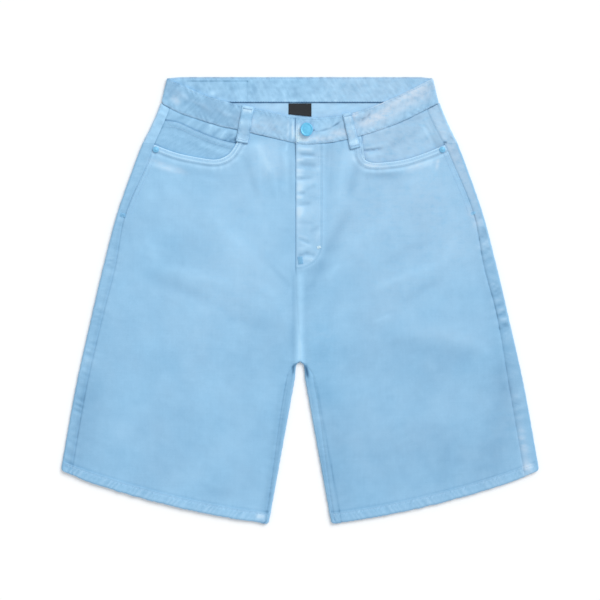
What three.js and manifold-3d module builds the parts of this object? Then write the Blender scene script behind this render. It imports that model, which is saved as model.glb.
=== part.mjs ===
// Knee-length denim shorts laid flat on a table with the front up: two wide legs, a waistband folded at
// each side, a fly with one button, two curved hip pockets, a coin pocket on the right and turned hems.
// Lengths are in millimetres. +X runs to the wearer's left, +Y to the waist and +Z up from the table.
// The origin is on the table, below the middle of the garment.
// Every place on the garment is given by its side, its distance h out from the middle, and its height y.
import * as THREE from "three";
import { mergeVertices } from "three/addons/utils/BufferGeometryUtils.js";
import Module from "manifold-3d";

const LEFT = 1;
const RIGHT = -1;

// Cloth and the play between pieces.
const DENIM = 1.1; // one layer
const BAND = 2.2; // the waistband, which is the cloth folded double
const SEAM = 0.3; // between two pieces at a seam
const HALF_SEAM = SEAM / 2;

// Heights up the garment, from the middle of its length.
const WAIST_TOP = 322.5; // upper edge of the waistband at the back
const WAIST_SEAM = 286.5; // lower edge of the waistband at the back and at the sides
const YOKE_SIDE = 228; // yoke seam at the side
const YOKE_MIDDLE = 212; // yoke seam at the middle of the back
const CROTCH = -88.5;
const HEM_SIDE = -254; // hem at the side seam
const HEM_INSEAM = -322.5; // hem at the inseam
const HEM_SAG = 8.2; // how far the hem bows below the straight line between its ends
const HEM_TURN = 16; // depth of the turned hem

// Thickness of the lying garment, as heights of its upper face.
const LEG_EDGE = 4.2;
const HIP_EDGE = 5.2;
const LEG_MIDDLE = 4.6;
const HIP_MIDDLE = 5.5;
const BAND_SIDE = 5.4;
const BAND_OVERLAP = 7.1; // the buttoned end of the waistband, on top
const BAND_UNDERLAP = 4.6; // the end that lies beneath it
const HEM_RAISE = 0.7;
const FLY_RAISE = 0.8;
const RIM_RAISE = 0.9;
const FACING_DEEP = 2.5; // pocket facing where it goes in under the front

const table = (names, rows) => rows.map((row) => Object.fromEntries(names.map((name, i) => [name, row[i]])));

// Edge of the folded garment: half its width, and how far the back comes round to the front on each side.
const SIDE_EDGE = table(["y", "half", "wrapLeft", "wrapRight"], [
  [-247, 345.5, 21, 15],
  [-124, 324, 21, 15],
  [-20, 301, 16, 16],
  [50, 284.5, 18, 17],
  [126, 264.5, 13, 12],
  [200, 238.5, 17, 18],
  [228, 227.5, 19, 17],
  [258, 213, 20, 16],
  [WAIST_SEAM, 201, 20, 15],
]);

// Front of the waistband from the right side fold to the left one: its seam and its upper edge.
const WAIST_FRONT = table(["x", "seam", "topX", "top"], [
  [-201, WAIST_SEAM, -192.5, WAIST_TOP],
  [-148, 266, -138, 298.5],
  [-88, 247.5, -82, 282.5],
  [-34, 235, -32, 271.5],
  [0, 228, 0, 265.5],
  [44, 229, 42, 266],
  [86, 237.5, 80, 273],
  [144, 257.5, 132, 292.5],
  [201, WAIST_SEAM, 192.5, WAIST_TOP],
]);

// Line of each pocket's mouth, from the side seam in to the waistband.
const MOUTH_LEFT = table(["h", "y"], [
  [216, 230.5], [183, 217], [152, 206], [121, 199.5], [101, 201.5], [91.5, 210], [89, 224], [88.5, 250],
]);
const MOUTH_RIGHT = table(["h", "y"], [
  [216, 225.5], [180, 212], [148, 205], [122, 202.5], [105, 208.5], [94.5, 221], [88.5, 236], [85.5, 256],
]);

// The largest folds of the front, as soft ridges and troughs: middle, direction, half length, half width, height.
const FOLDS = table(["x", "y", "turn", "length", "width", "rise"], [
  [56, 122, 68, 95, 17, -1.1],
  [30, 150, 74, 80, 16, 0.5],
  [150, 42, 18, 130, 20, -0.8],
  [165, 92, 24, 110, 24, 0.6],
  [190, -48, -4, 75, 20, 0.8],
  [190, -88, -2, 85, 22, -0.6],
  [24, -5, 92, 60, 15, -0.8],
  [-196, 30, -20, 80, 20, -0.8],
  [-180, 78, -24, 95, 22, 0.6],
  [-36, -18, 62, 65, 20, -0.7],
  [-150, -150, 78, 90, 30, 0.5],
  [245, -165, 74, 80, 24, -0.5],
]);

const lerp = (a, b, t) => a + (b - a) * t;
const clamp01 = (t) => Math.min(1, Math.max(0, t));

// 0 below the first value, 1 past the second, and an even curve between them; the first may be the larger.
function smooth(from, to, value) {
  const t = clamp01((value - from) / (to - from));
  return t * t * (3 - 2 * t);
}

// One column of a table on a smooth curve through its rows, read at a place in the key column.
function curveAt(rows, key, at, column) {
  const last = rows.length - 1;
  const slope = (i) => {
    const before = rows[Math.max(i - 1, 0)];
    const after = rows[Math.min(i + 1, last)];
    return (after[column] - before[column]) / (after[key] - before[key]);
  };
  let i = 0;
  while (i < last - 1 && rows[i + 1][key] < at) i += 1;
  const a = rows[i];
  const b = rows[i + 1];
  const span = b[key] - a[key];
  const t = (at - a[key]) / span;
  if (t < 0) return a[column] + slope(0) * (at - a[key]);
  if (t > 1) return b[column] + slope(last) * (at - b[key]);
  const bend = t * t * (3 - 2 * t);
  const leave = t * (1 - t) ** 2 * span * slope(i);
  const arrive = t * t * (1 - t) * span * slope(i + 1);
  return lerp(a[column], b[column], bend) + leave - arrive;
}

// Edges and seams as distances out from the middle line at a height y.
const sideEdge = (y) => curveAt(SIDE_EDGE, "y", y, "half");
const wrapOf = (side, y) => curveAt(SIDE_EDGE, "y", y, side === LEFT ? "wrapLeft" : "wrapRight");
const SEAM_IN = 18; // from the fold to the side seam, on the whole
const sideSeam = (side, y) => sideEdge(y) - wrapOf(side, y);
const waistSeam = (x) => curveAt(WAIST_FRONT, "x", x, "seam");
const yokeSeam = (h) => lerp(YOKE_MIDDLE, YOKE_SIDE, h / sideEdge(YOKE_SIDE));

// Inner edge of the leg, which starts as a small round arch at the crotch.
function inseamEdge(y) {
  const ARCH_HEIGHT = 7;
  const ARCH_HALF = 3;
  const SLANT = 0.181;
  const below = Math.max(0, CROTCH - y);
  const round = clamp01(below / ARCH_HEIGHT);
  return HALF_SEAM + (ARCH_HALF + SLANT * below) * Math.sqrt(1 - (1 - round) ** 2);
}

// The inseam lies on the front, a little in from the edge of the leg.
function inseam(y) {
  const below = Math.max(0, CROTCH - y);
  const wrap = lerp(3, 12, smooth(0, 22, below)) - 6.5 * smooth(40, 230, below);
  return inseamEdge(y) + wrap;
}

// The front seam runs a little to the wearer's right at the fly, and down the middle at the crotch.
const frontSeamX = (y) => lerp(0, -6, smooth(CROTCH, 40, y));

// Hem line, a shallow bow between its two ends.
function hemLine(h) {
  const out = (h - inseamEdge(HEM_INSEAM)) / (sideEdge(HEM_SIDE) - SEAM_IN - inseamEdge(HEM_INSEAM));
  return lerp(HEM_INSEAM, HEM_SIDE, out) - HEM_SAG * 4 * out * (1 - out);
}

// Height of the upper face of the lying waistband.
function bandHeight(side, h) {
  return lerp(side === LEFT ? BAND_OVERLAP : BAND_UNDERLAP, BAND_SIDE, smooth(30, 120, h));
}

const edgeHeight = (y) => lerp(LEG_EDGE, HIP_EDGE, smooth(-180, 120, y));

function foldsAt(x, y) {
  let rise = 0;
  for (const fold of FOLDS) {
    const turn = THREE.MathUtils.degToRad(fold.turn);
    const along = ((x - fold.x) * Math.cos(turn) + (y - fold.y) * Math.sin(turn)) / fold.length;
    const across = ((y - fold.y) * Math.cos(turn) - (x - fold.x) * Math.sin(turn)) / fold.width;
    rise += fold.rise * Math.exp(-across * across) * (1 - smooth(0.35, 1, Math.abs(along)));
  }
  return rise;
}

// The part of the left front that the fly's facing thickens: a strip that ends in a J.
function inFly(side, h, y) {
  const FLY_WIDTH = 36;
  const FLY_BEND = 82;
  const FLY_FOOT = 44;
  const EDGE = 0.08;
  if (side === RIGHT) return 0;
  const across = (h - frontSeamX(y)) / FLY_WIDTH;
  const down = Math.max(0, FLY_BEND - y) / (FLY_BEND - FLY_FOOT);
  return smooth(1 + EDGE, 1 - EDGE, Math.hypot(across, down));
}

// Height of the upper face of the front, at a place on it.
function frontHeight(side, h, y) {
  const edge = edgeHeight(y);
  const middle = lerp(LEG_MIDDLE, HIP_MIDDLE, smooth(-180, 100, y)) + foldsAt(side * h, y);
  const offEdge = smooth(4, 60, sideEdge(y) - h);
  const offInseam = y < CROTCH ? smooth(2, 45, h - inseamEdge(y)) : 1;
  const lying = lerp(edge, middle, offEdge * offInseam);
  const atWaist = bandHeight(side, h) - FLY_RAISE - (side === LEFT ? 0.8 * smooth(60, 30, h) : 0);
  const z = lerp(lying, atWaist, smooth(34, 4, waistSeam(side * h) - y));
  const hem = HEM_RAISE * smooth(HEM_TURN + 1.5, HEM_TURN - 0.5, y - hemLine(h));
  return z + hem + FLY_RAISE * inFly(side, h, y);
}

// A row across the garment, from the middle or the leg's inner edge out to the side seam.
function rowAcross(inner, outer, options = {}) {
  return { inner, outer, sag: 0, waist: 0, leg: false, ...options };
}

function rowHeight(side, row, h) {
  const start = row.leg ? inseamEdge(row.inner) : 0;
  const seam = sideEdge(row.outer) - SEAM_IN;
  const out = Math.max(0, (h - start) / (seam - start));
  const straight = lerp(row.inner, row.outer, out) - row.sag * 4 * out * (1 - out);
  const likeWaist = row.outer + waistSeam(side * Math.min(h, sideEdge(WAIST_SEAM))) - waistSeam(side * seam);
  return lerp(straight, likeWaist, row.waist);
}

// Where a row meets an inseam that is given as a distance out at each height.
function meets(side, row, line) {
  let h = line(row.inner);
  for (let i = 0; i < 6; i += 1) h = line(rowHeight(side, row, h));
  return h;
}

// Where the front's upper edge meets the side seam.
function waistAtSide(side) {
  let y = WAIST_SEAM;
  for (let i = 0; i < 12; i += 1) y = waistSeam(side * (sideEdge(y - SEAM) - SEAM_IN));
  return y - SEAM;
}

const CROTCH_AT_SIDE = -62; // where the row through the crotch reaches the side
const HEM_DEPTHS = [0, 8, HEM_TURN - 0.5, HEM_TURN + 1.5];
const LEG_SHARES = [0.09, 0.2, 0.32, 0.44, 0.56, 0.67, 0.77, 0.86, 0.93, 0.975, 1];
const BODY_ROWS = 13; // from the crotch to the yoke
const WAIST_ROWS = 4; // of the front, above the yoke

// Rows of one leg, from its hem to the crotch.
const LEG_ROWS = [
  ...HEM_DEPTHS.map((depth) =>
    rowAcross(HEM_INSEAM + depth, HEM_SIDE + depth, { sag: HEM_SAG, leg: true, hem: depth < HEM_TURN ? HEM_RAISE : 0 }),
  ),
  ...LEG_SHARES.slice(1).map((t) =>
    rowAcross(lerp(HEM_INSEAM, CROTCH, t), lerp(HEM_SIDE, CROTCH_AT_SIDE, t), { sag: HEM_SAG * (1 - t) ** 2, leg: true }),
  ),
];

// Rows from just above the crotch to the yoke seam, whose ends at the side the front shares.
const ABOVE_CROTCH = 1.5;
const bodyOuter = (i) => lerp(CROTCH_AT_SIDE + ABOVE_CROTCH, YOKE_SIDE - HALF_SEAM, i / (BODY_ROWS - 1));
const SEAT_ROWS = Array.from({ length: BODY_ROWS }, (_, i) =>
  rowAcross(lerp(CROTCH + ABOVE_CROTCH, YOKE_MIDDLE - HALF_SEAM, i / (BODY_ROWS - 1)), bodyOuter(i)),
);

// Rows of a front from just above the crotch to the waistband.
function frontRows(side) {
  const count = BODY_ROWS + WAIST_ROWS;
  return Array.from({ length: count }, (_, i) => {
    const t = i / (count - 1);
    const above = (i - BODY_ROWS + 1) / WAIST_ROWS;
    const outer = above <= 0 ? bodyOuter(i) : lerp(bodyOuter(BODY_ROWS - 1), waistAtSide(side), above);
    return rowAcross(lerp(CROTCH + ABOVE_CROTCH, waistSeam(0) - SEAM, t), outer, { waist: smooth(0.2, 1, t) });
  });
}

const wasm = await Module();
wasm.setup();

// A closed wall from two grids of points, its outer and its inner face; cells that `has` turns down are left out.
function wall(outer, inner, has = () => true) {
  const rows = outer.length - 1;
  const columns = outer[0].length - 1;
  const points = [];
  const quad = (a, b, c, d) => points.push(a, b, c, a, c, d);
  const there = (i, j) => i >= 0 && j >= 0 && i < columns && j < rows && has(i, j);
  for (let j = 0; j < rows; j += 1) {
    for (let i = 0; i < columns; i += 1) {
      if (!there(i, j)) continue;
      quad(outer[j][i], outer[j][i + 1], outer[j + 1][i + 1], outer[j + 1][i]);
      quad(inner[j][i], inner[j + 1][i], inner[j + 1][i + 1], inner[j][i + 1]);
      const rim = (p, q, i1, j1) => {
        if (!there(i1, j1)) quad(outer[p[1]][p[0]], inner[p[1]][p[0]], inner[q[1]][q[0]], outer[q[1]][q[0]]);
      };
      rim([i, j], [i + 1, j], i, j - 1);
      rim([i + 1, j], [i + 1, j + 1], i + 1, j);
      rim([i + 1, j + 1], [i, j + 1], i, j + 1);
      rim([i, j + 1], [i, j], i - 1, j);
    }
  }
  return solidOf(new THREE.BufferGeometry().setFromPoints(points));
}

// The closed mesh as a solid for cutting and joining, turned right side out.
function solidOf(geometry) {
  const plain = new THREE.BufferGeometry();
  const source = geometry.index ? geometry.toNonIndexed() : geometry;
  plain.setAttribute("position", source.getAttribute("position"));
  const merged = mergeVertices(plain, 1e-3);
  const positions = merged.getAttribute("position").array;
  const corners = new Uint32Array(merged.index.array);
  const make = () => new wasm.Manifold(new wasm.Mesh({ numProp: 3, vertProperties: positions, triVerts: corners }));
  const solid = make();
  if (solid.volume() > 0) return solid;
  for (let i = 0; i < corners.length; i += 3) [corners[i + 1], corners[i + 2]] = [corners[i + 2], corners[i + 1]];
  return make();
}

function geometryOf(solid) {
  const mesh = solid.getMesh();
  const geometry = new THREE.BufferGeometry();
  geometry.setAttribute("position", new THREE.BufferAttribute(mesh.vertProperties, 3));
  geometry.setIndex(new THREE.BufferAttribute(mesh.triVerts, 1));
  return geometry.toNonIndexed();
}

const onSide = (side, h, y, z) => new THREE.Vector3(side * h, y, z);

// The cloth of the back at one row: from the side seam on the front, round the fold and across the table.
// On a leg it also goes round the inner fold to the inseam on the front.
const ROLL_STEPS = 5;
const UNDER_STEPS = 6;
const SEAT_COLUMN = 2 + ROLL_STEPS + UNDER_STEPS; // the last column of the seat
const TURNS = Array.from({ length: ROLL_STEPS + 1 }, (_, i) => 1 - (2 * i) / ROLL_STEPS); // in right angles

function backSection(side, { atFold, heightOf, hem = 0, inner = null }) {
  const section = [];
  const add = (h, y, outer, within) => {
    section.push({ outer: onSide(side, h, y, outer), inner: onSide(side, h, y, within) });
  };
  const upper = (h) => {
    const y = heightOf(h, true);
    const z = frontHeight(side, h, y);
    add(h, y, z, z - DENIM);
  };
  const roll = (edge, outward, height, turns) => {
    const radius = height / 2;
    const centre = edge - outward * radius;
    for (const turn of turns) {
      const angle = (Math.PI / 2) * turn;
      const y = heightOf(centre + outward * radius * Math.cos(angle), turn > 0);
      const at = (r) => onSide(side, centre + outward * r * Math.cos(angle), y, radius + r * Math.sin(angle));
      section.push({ outer: at(radius), inner: at(radius - DENIM) });
    }
    return centre;
  };
  const seam = sideSeam(side, atFold) + HALF_SEAM;
  upper(seam);
  upper(lerp(seam, sideEdge(atFold), 0.5));
  const centre = roll(sideEdge(atFold), 1, edgeHeight(atFold) + hem, TURNS);
  const innerStart = inner ? inner.edge + (edgeHeight(inner.y) + hem) / 2 : HALF_SEAM;
  const steps = UNDER_STEPS - (inner ? 1 : 0);
  for (let i = 1; i <= steps; i += 1) {
    const h = lerp(centre, innerStart, i / UNDER_STEPS);
    add(h, heightOf(h, false), 0, DENIM);
  }
  if (inner) {
    roll(inner.edge, -1, edgeHeight(inner.y) + hem, TURNS.slice().reverse());
    upper(inner.seam - HALF_SEAM);
  } else {
    while (section.length < SEAT_COLUMN + ROLL_STEPS + 2) section.push(section[section.length - 1]);
  }
  return section;
}

function sectionWall(sections, has) {
  return wall(sections.map((s) => s.map((p) => p.outer)), sections.map((s) => s.map((p) => p.inner)), has);
}

function backPanel(side) {
  const sections = [...LEG_ROWS, ...SEAT_ROWS].map((row) =>
    backSection(side, {
      atFold: row.outer,
      heightOf: (h) => rowHeight(side, row, h),
      hem: row.hem,
      inner: row.leg ? { y: row.inner, edge: inseamEdge(row.inner), seam: meets(side, row, inseam) } : null,
    }),
  );
  return sectionWall(sections, (i, j) => j < LEG_ROWS.length - 1 || i < SEAT_COLUMN);
}

// The yoke goes on from the back panel up to the waistband, with the same fold at the side.
function yoke(side) {
  const ROWS = 5;
  const foot = SEAT_ROWS[BODY_ROWS - 1];
  const sections = Array.from({ length: ROWS }, (_, j) => {
    const heightOf = (h, onFront) => {
      const top = onFront ? waistSeam(side * Math.min(h, sideEdge(WAIST_SEAM))) : WAIST_SEAM;
      return lerp(rowHeight(side, foot, h) + SEAM, top - SEAM, j / (ROWS - 1));
    };
    let atFold = heightOf(sideEdge(YOKE_SIDE), true);
    for (let i = 0; i < 8; i += 1) atFold = heightOf(sideSeam(side, atFold), true);
    return backSection(side, { atFold, heightOf });
  });
  return sectionWall(sections, (i) => i < SEAT_COLUMN);
}

// Points along a pocket's mouth, from the side in to the waistband.
function mouthCurve(side) {
  const rows = side === LEFT ? MOUTH_LEFT : MOUTH_RIGHT;
  return new THREE.CatmullRomCurve3(rows.map((row) => new THREE.Vector3(row.h, row.y, 0)), false, "centripetal");
}

// The turned edge of the pocket's mouth: a low rounded strip that is one with the front.
function mouthRim(side) {
  const STEPS = 22;
  const CLEAR = 2; // from the side seam and the waistband
  const WIDTH = 7;
  const PROFILE = [[0, 0.15], [0.2, 1], [0.8, 1], [1, 0.1]]; // share of the width, share of the height
  const SUNK = 0.6; // how deep the strip reaches into the front
  const curve = mouthCurve(side);
  const belowWaist = (point) => point.y < waistSeam(side * point.x) - CLEAR;
  const insideSeam = (point) => point.x < sideSeam(side, point.y) - CLEAR;
  let start = 0;
  let finish = 1;
  while (!insideSeam(curve.getPointAt(start))) start += 0.005;
  while (!belowWaist(curve.getPointAt(finish))) finish -= 0.005;
  const outer = [];
  const inner = [];
  for (let j = 0; j <= STEPS; j += 1) {
    const t = lerp(start, finish, j / STEPS);
    const at = curve.getPointAt(t);
    const along = curve.getTangentAt(t);
    const inward = new THREE.Vector3(along.y, -along.x, 0).negate();
    const places = PROFILE.map(([share, height]) => ({ at: at.clone().addScaledVector(inward, WIDTH * share), height }));
    const point = (p, z) => onSide(side, p.x, p.y, frontHeight(side, p.x, p.y) + z);
    outer.push(places.map((p) => point(p.at, RIM_RAISE * p.height)));
    inner.push(places.map((p) => point(p.at, -SUNK)));
  }
  return wall(outer, inner);
}

// Everything above a pocket's mouth, to be cut out of the front.
function mouthCutter(side) {
  const BEYOND = 60;
  const points = mouthCurve(side).getSpacedPoints(26);
  const last = points[points.length - 1];
  const shape = new THREE.Shape([
    ...points.map((p) => new THREE.Vector2(side * p.x, p.y)),
    new THREE.Vector2(side * last.x, last.y + BEYOND),
    new THREE.Vector2(side * (points[0].x + 8), last.y + BEYOND),
    new THREE.Vector2(side * (points[0].x + 8), points[0].y + 4),
  ]);
  const prism = new THREE.ExtrudeGeometry(shape, { depth: 30, bevelEnabled: false });
  prism.translate(0, 0, -10);
  return solidOf(prism);
}

// A front: from the front seam and the inseam out to the side seam, and from the hem up to the waistband.
function frontPanel(side) {
  const FIRST = [0, 12, 24, 34, 38.5]; // the first columns in from the seam, which take the edge of the fly
  const REST = 9;
  const outer = [];
  const inner = [];
  for (const row of [...LEG_ROWS, ...frontRows(side)]) {
    const start = row.leg
      ? meets(side, row, inseam) + HALF_SEAM
      : side * frontSeamX(rowHeight(side, row, 0)) + HALF_SEAM;
    const end = sideSeam(side, row.outer) - HALF_SEAM;
    const last = start + FIRST[FIRST.length - 1];
    const across = FIRST.map((distance) => start + distance);
    for (let i = 1; i <= REST; i += 1) across.push(lerp(last, end, i / REST));
    const places = across.map((h) => {
      const y = rowHeight(side, row, h);
      return { h, y, z: frontHeight(side, h, y) };
    });
    outer.push(places.map((p) => onSide(side, p.h, p.y, p.z)));
    inner.push(places.map((p) => onSide(side, p.h, p.y, p.z - DENIM - FLY_RAISE * inFly(side, p.h, p.y))));
  }
  return wall(outer, inner).add(mouthRim(side)).subtract(mouthCutter(side));
}

// Height of the upper face of a pocket's facing: level with the waistband seam, then deeper in under the front.
function facingHeight(side, h, y) {
  const seam = waistSeam(side * h) - y;
  return lerp(bandHeight(side, h) - FLY_RAISE, FACING_DEEP, smooth(4, 34, seam));
}

// Lower edge of what lies in the pocket's mouth, which goes in under the front by a given depth.
function underMouth(side, h, depth) {
  const points = mouthCurve(side).getSpacedPoints(60);
  let y = Infinity;
  for (let i = 1; i < points.length; i += 1) {
    const [a, b] = [points[i - 1], points[i]];
    const share = (h - a.x) / (b.x - a.x);
    if (share >= 0 && share <= 1) y = Math.min(y, lerp(a.y, b.y, share));
  }
  return (Number.isFinite(y) ? y : 200) - depth;
}

// A sheet in the mouth of a pocket, from an upper line down to below the mouth, lifted off the facing.
function inMouth(side, { innerEnd, topLine, depth, lift, columns, rows }) {
  const outer = [];
  const inner = [];
  for (let j = 0; j <= rows; j += 1) {
    const outerRow = [];
    const innerRow = [];
    for (let i = 0; i <= columns; i += 1) {
      const share = i / columns;
      let h = lerp(innerEnd, 205, share);
      let y = 0;
      for (let k = 0; k < 8; k += 1) {
        y = lerp(underMouth(side, Math.min(h, 214), depth), topLine(h), j / rows);
        h = lerp(innerEnd, sideSeam(side, y) - SEAM, share);
      }
      const z = facingHeight(side, h, y) + lift;
      outerRow.push(onSide(side, h, y, z));
      innerRow.push(onSide(side, h, y, z - DENIM));
    }
    outer.push(outerRow);
    inner.push(innerRow);
  }
  return wall(outer, inner);
}

const pocketFacing = (side) =>
  inMouth(side, {
    innerEnd: 91.5,
    topLine: (h) => waistSeam(side * h) - SEAM,
    depth: 13,
    lift: 0,
    columns: 9,
    rows: 7,
  });

// The coin pocket lies on the right facing and is open along its straight upper edge.
function coinPocket() {
  const EDGE_IN = { h: 93, y: 228.5 };
  const EDGE_OUT = { h: 195, y: 260.5 };
  const edge = (h) => lerp(EDGE_IN.y, EDGE_OUT.y, (h - EDGE_IN.h) / (EDGE_OUT.h - EDGE_IN.h));
  return inMouth(RIGHT, { innerEnd: 96, topLine: edge, depth: 8, lift: DENIM + SEAM, columns: 9, rows: 5 });
}

// The waistband is one strip: from its buttoned end on the front, round the left side fold, across the back,
// round the right side fold and back to the end that lies beneath the button.
function waistband() {
  const OVERLAP_END = -6;
  const UNDERLAP_END = 26;
  const FRONT_STEPS = 11;
  const BACK_STEPS = 10;
  const ACROSS = [0, 0.5, 1];
  const radius = BAND_SIDE / 2;
  const fold = sideEdge(WAIST_SEAM);
  const topShare = WAIST_FRONT[0].topX / WAIST_FRONT[0].x;
  const stations = [];
  const onFront = (x, side) => {
    const z = bandHeight(side, side * x);
    const low = { x, y: waistSeam(x) };
    const high = { x: curveAt(WAIST_FRONT, "x", x, "topX"), y: curveAt(WAIST_FRONT, "x", x, "top") };
    stations.push({ low, high, outer: z, inner: z - BAND });
  };
  const onBack = (x) => {
    stations.push({ low: { x, y: WAIST_SEAM }, high: { x: x * topShare, y: WAIST_TOP }, outer: 0, inner: BAND });
  };
  const round = (side, turns) => {
    for (const turn of turns) {
      const angle = (Math.PI / 2) * turn;
      const place = (r) => ({ x: side * (fold - radius + r * Math.cos(angle)), z: radius + r * Math.sin(angle) });
      const [out, within] = [place(radius), place(radius - BAND)];
      const shift = side * fold * (topShare - 1);
      const low = turn > 0 ? waistSeam(out.x) : WAIST_SEAM;
      const high = turn > 0 ? curveAt(WAIST_FRONT, "x", out.x, "top") : WAIST_TOP;
      stations.push({
        low: { x: out.x, y: low },
        high: { x: out.x + shift, y: high },
        lowIn: { x: within.x, y: low },
        highIn: { x: within.x + shift, y: high },
        outer: out.z,
        inner: within.z,
      });
    }
  };
  const inner = [0.6, 0.2, -0.2, -0.6];
  for (let i = 0; i <= FRONT_STEPS; i += 1) onFront(lerp(OVERLAP_END, fold - radius, i / FRONT_STEPS), LEFT);
  round(LEFT, inner);
  for (let i = 0; i <= BACK_STEPS; i += 1) onBack(lerp(fold - radius, radius - fold, i / BACK_STEPS));
  round(RIGHT, inner.slice().reverse());
  for (let i = 0; i <= FRONT_STEPS + 1; i += 1) {
    onFront(lerp(radius - fold, UNDERLAP_END, i / (FRONT_STEPS + 1)), RIGHT);
  }
  const face = (station, share, isOuter) => {
    const low = (!isOuter && station.lowIn) || station.low;
    const high = (!isOuter && station.highIn) || station.high;
    const z = isOuter ? station.outer : station.inner;
    return new THREE.Vector3(lerp(low.x, high.x, share), lerp(low.y, high.y, share), z);
  };
  return wall(
    stations.map((s) => ACROSS.map((share) => face(s, share, true))),
    stations.map((s) => ACROSS.map((share) => face(s, share, false))),
  );
}

// A belt loop on the front: sewn down at both ends, and standing a little off the waistband between them.
function beltLoop(side, top, bottom) {
  const WIDTH = 15;
  const THICK = 1.6;
  const ARCH = 1.1;
  const CLEAR = 0.35;
  const STATIONS = [0, 0.05, 0.14, 0.3, 0.5, 0.66, 0.76, 0.83, 0.92, 1];
  const direction = new THREE.Vector2(bottom.h - top.h, bottom.y - top.y);
  const length = direction.length();
  direction.normalize();
  const sideways = new THREE.Vector2(-direction.y, direction.x);
  const outer = [];
  const inner = [];
  for (const share of STATIONS) {
    const middle = { h: lerp(top.h, bottom.h, share), y: lerp(top.y, bottom.y, share) };
    const offBand = waistSeam(side * middle.h) - middle.y;
    const onBand = bandHeight(side, middle.h);
    const onPanel = frontHeight(side, middle.h, middle.y) + RIM_RAISE;
    const arch = ARCH * Math.sin(Math.PI * clamp01((share - 0.05) / 0.78)) ** 2;
    const base = lerp(onBand, onPanel, smooth(2.6, 7, offBand)) + CLEAR + arch;
    const corners = [-WIDTH / 2, 0, WIDTH / 2].map((out) => ({
      h: middle.h + sideways.x * out,
      y: middle.y + sideways.y * out,
    }));
    outer.push(corners.map((p) => onSide(side, p.h, p.y, base + THICK)));
    inner.push(corners.map((p) => onSide(side, p.h, p.y, base)));
  }
  if (length < WIDTH) throw new Error("a belt loop is longer than it is wide");
  return wall(outer, inner);
}

// A lathed shape on the Z axis, from its profile of radius and height.
function turned(profile, segments) {
  const geometry = new THREE.LatheGeometry(profile.map(([r, z]) => new THREE.Vector2(r, z)), segments);
  return geometry.rotateX(Math.PI / 2);
}

// The shank button leans a little on its post, as the buttonhole pulls it.
function button() {
  const RADIUS = 9.4;
  const THICK = 2.6;
  const LEAN = THREE.MathUtils.degToRad(9);
  const POST = 3.2;
  const UNDER = 2.6; // from the waistband to the middle of the cap's lower face
  const foot = BAND_OVERLAP + SEAM;
  const cap = turned(
    [[0, 0], [RADIUS - 1, 0], [RADIUS, 0.7], [RADIUS, 1.7], [RADIUS - 0.8, THICK],
     [RADIUS - 2, THICK], [RADIUS - 2.6, THICK - 0.5], [0, THICK - 0.2]],
    28,
  );
  cap.rotateY(LEAN);
  cap.translate(0, 0, foot + UNDER);
  const post = new THREE.CylinderGeometry(POST, POST + 0.6, UNDER + 1, 16);
  post.rotateX(Math.PI / 2);
  post.translate(0, 0, foot + (UNDER + 1) / 2);
  return solidOf(cap).add(solidOf(post));
}

function rivet() {
  const RADIUS = 4.4;
  return solidOf(turned([[0, 0], [RADIUS, 0], [RADIUS, 0.5], [RADIUS - 0.9, 1.2], [1.8, 1.3], [1.4, 1.7], [0, 1.8]], 20));
}

// The woven label hangs from the waistband inside the back; its lower edge runs a little askew.
function label() {
  const HALF_WIDTH = 16.6;
  const LOWER_RIGHT = 270.5;
  const LOWER_LEFT = 267;
  const THICK = 1;
  const top = WAIST_SEAM - SEAM;
  const grid = (z) => [
    [new THREE.Vector3(-HALF_WIDTH, LOWER_RIGHT, z), new THREE.Vector3(HALF_WIDTH, LOWER_LEFT, z)],
    [new THREE.Vector3(-HALF_WIDTH, top, z), new THREE.Vector3(HALF_WIDTH, top, z)],
  ];
  return wall(grid(DENIM + SEAM + THICK), grid(DENIM + SEAM));
}

const cloth = new THREE.MeshStandardMaterial({ color: "#9ccbed", roughness: 0.92, metalness: 0 });
const paintedMetal = new THREE.MeshStandardMaterial({ color: "#57b4ee", roughness: 0.45, metalness: 0.2 });
const wovenBlack = new THREE.MeshStandardMaterial({ color: "#17171a", roughness: 0.8, metalness: 0 });

const shorts = new THREE.Group();
shorts.name = "denim_shorts";

function place(name, solid, material, at = [0, 0, 0]) {
  const mesh = new THREE.Mesh(geometryOf(solid), material);
  mesh.name = name;
  mesh.position.set(...at);
  shorts.add(mesh);
}

for (const [side, word] of [[LEFT, "left"], [RIGHT, "right"]]) {
  place(`front_${word}`, frontPanel(side), cloth);
  place(`back_${word}`, backPanel(side), cloth);
  place(`yoke_${word}`, yoke(side), cloth);
  place(`pocket_facing_${word}`, pocketFacing(side), cloth);
}
place("coin_pocket", coinPocket(), cloth);
place("waistband", waistband(), cloth);
place("belt_loop_left", beltLoop(LEFT, { h: 69.5, y: 270.5 }, { h: 80, y: 220.5 }), cloth);
place("belt_loop_right", beltLoop(RIGHT, { h: 74.5, y: 281.5 }, { h: 84, y: 229 }), cloth);
place("label", label(), wovenBlack);
place("button", button(), paintedMetal, [9.7, 248, 0]);

const RIVETS = [["rivet_left", LEFT, 205.5, 220], ["rivet_right", RIGHT, 207.5, 215.5]];
for (const [name, side, h, y] of RIVETS) {
  place(name, rivet(), paintedMetal, [side * h, y, frontHeight(side, h, y) + RIM_RAISE + SEAM]);
}

export default shorts;
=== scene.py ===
import math

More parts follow.
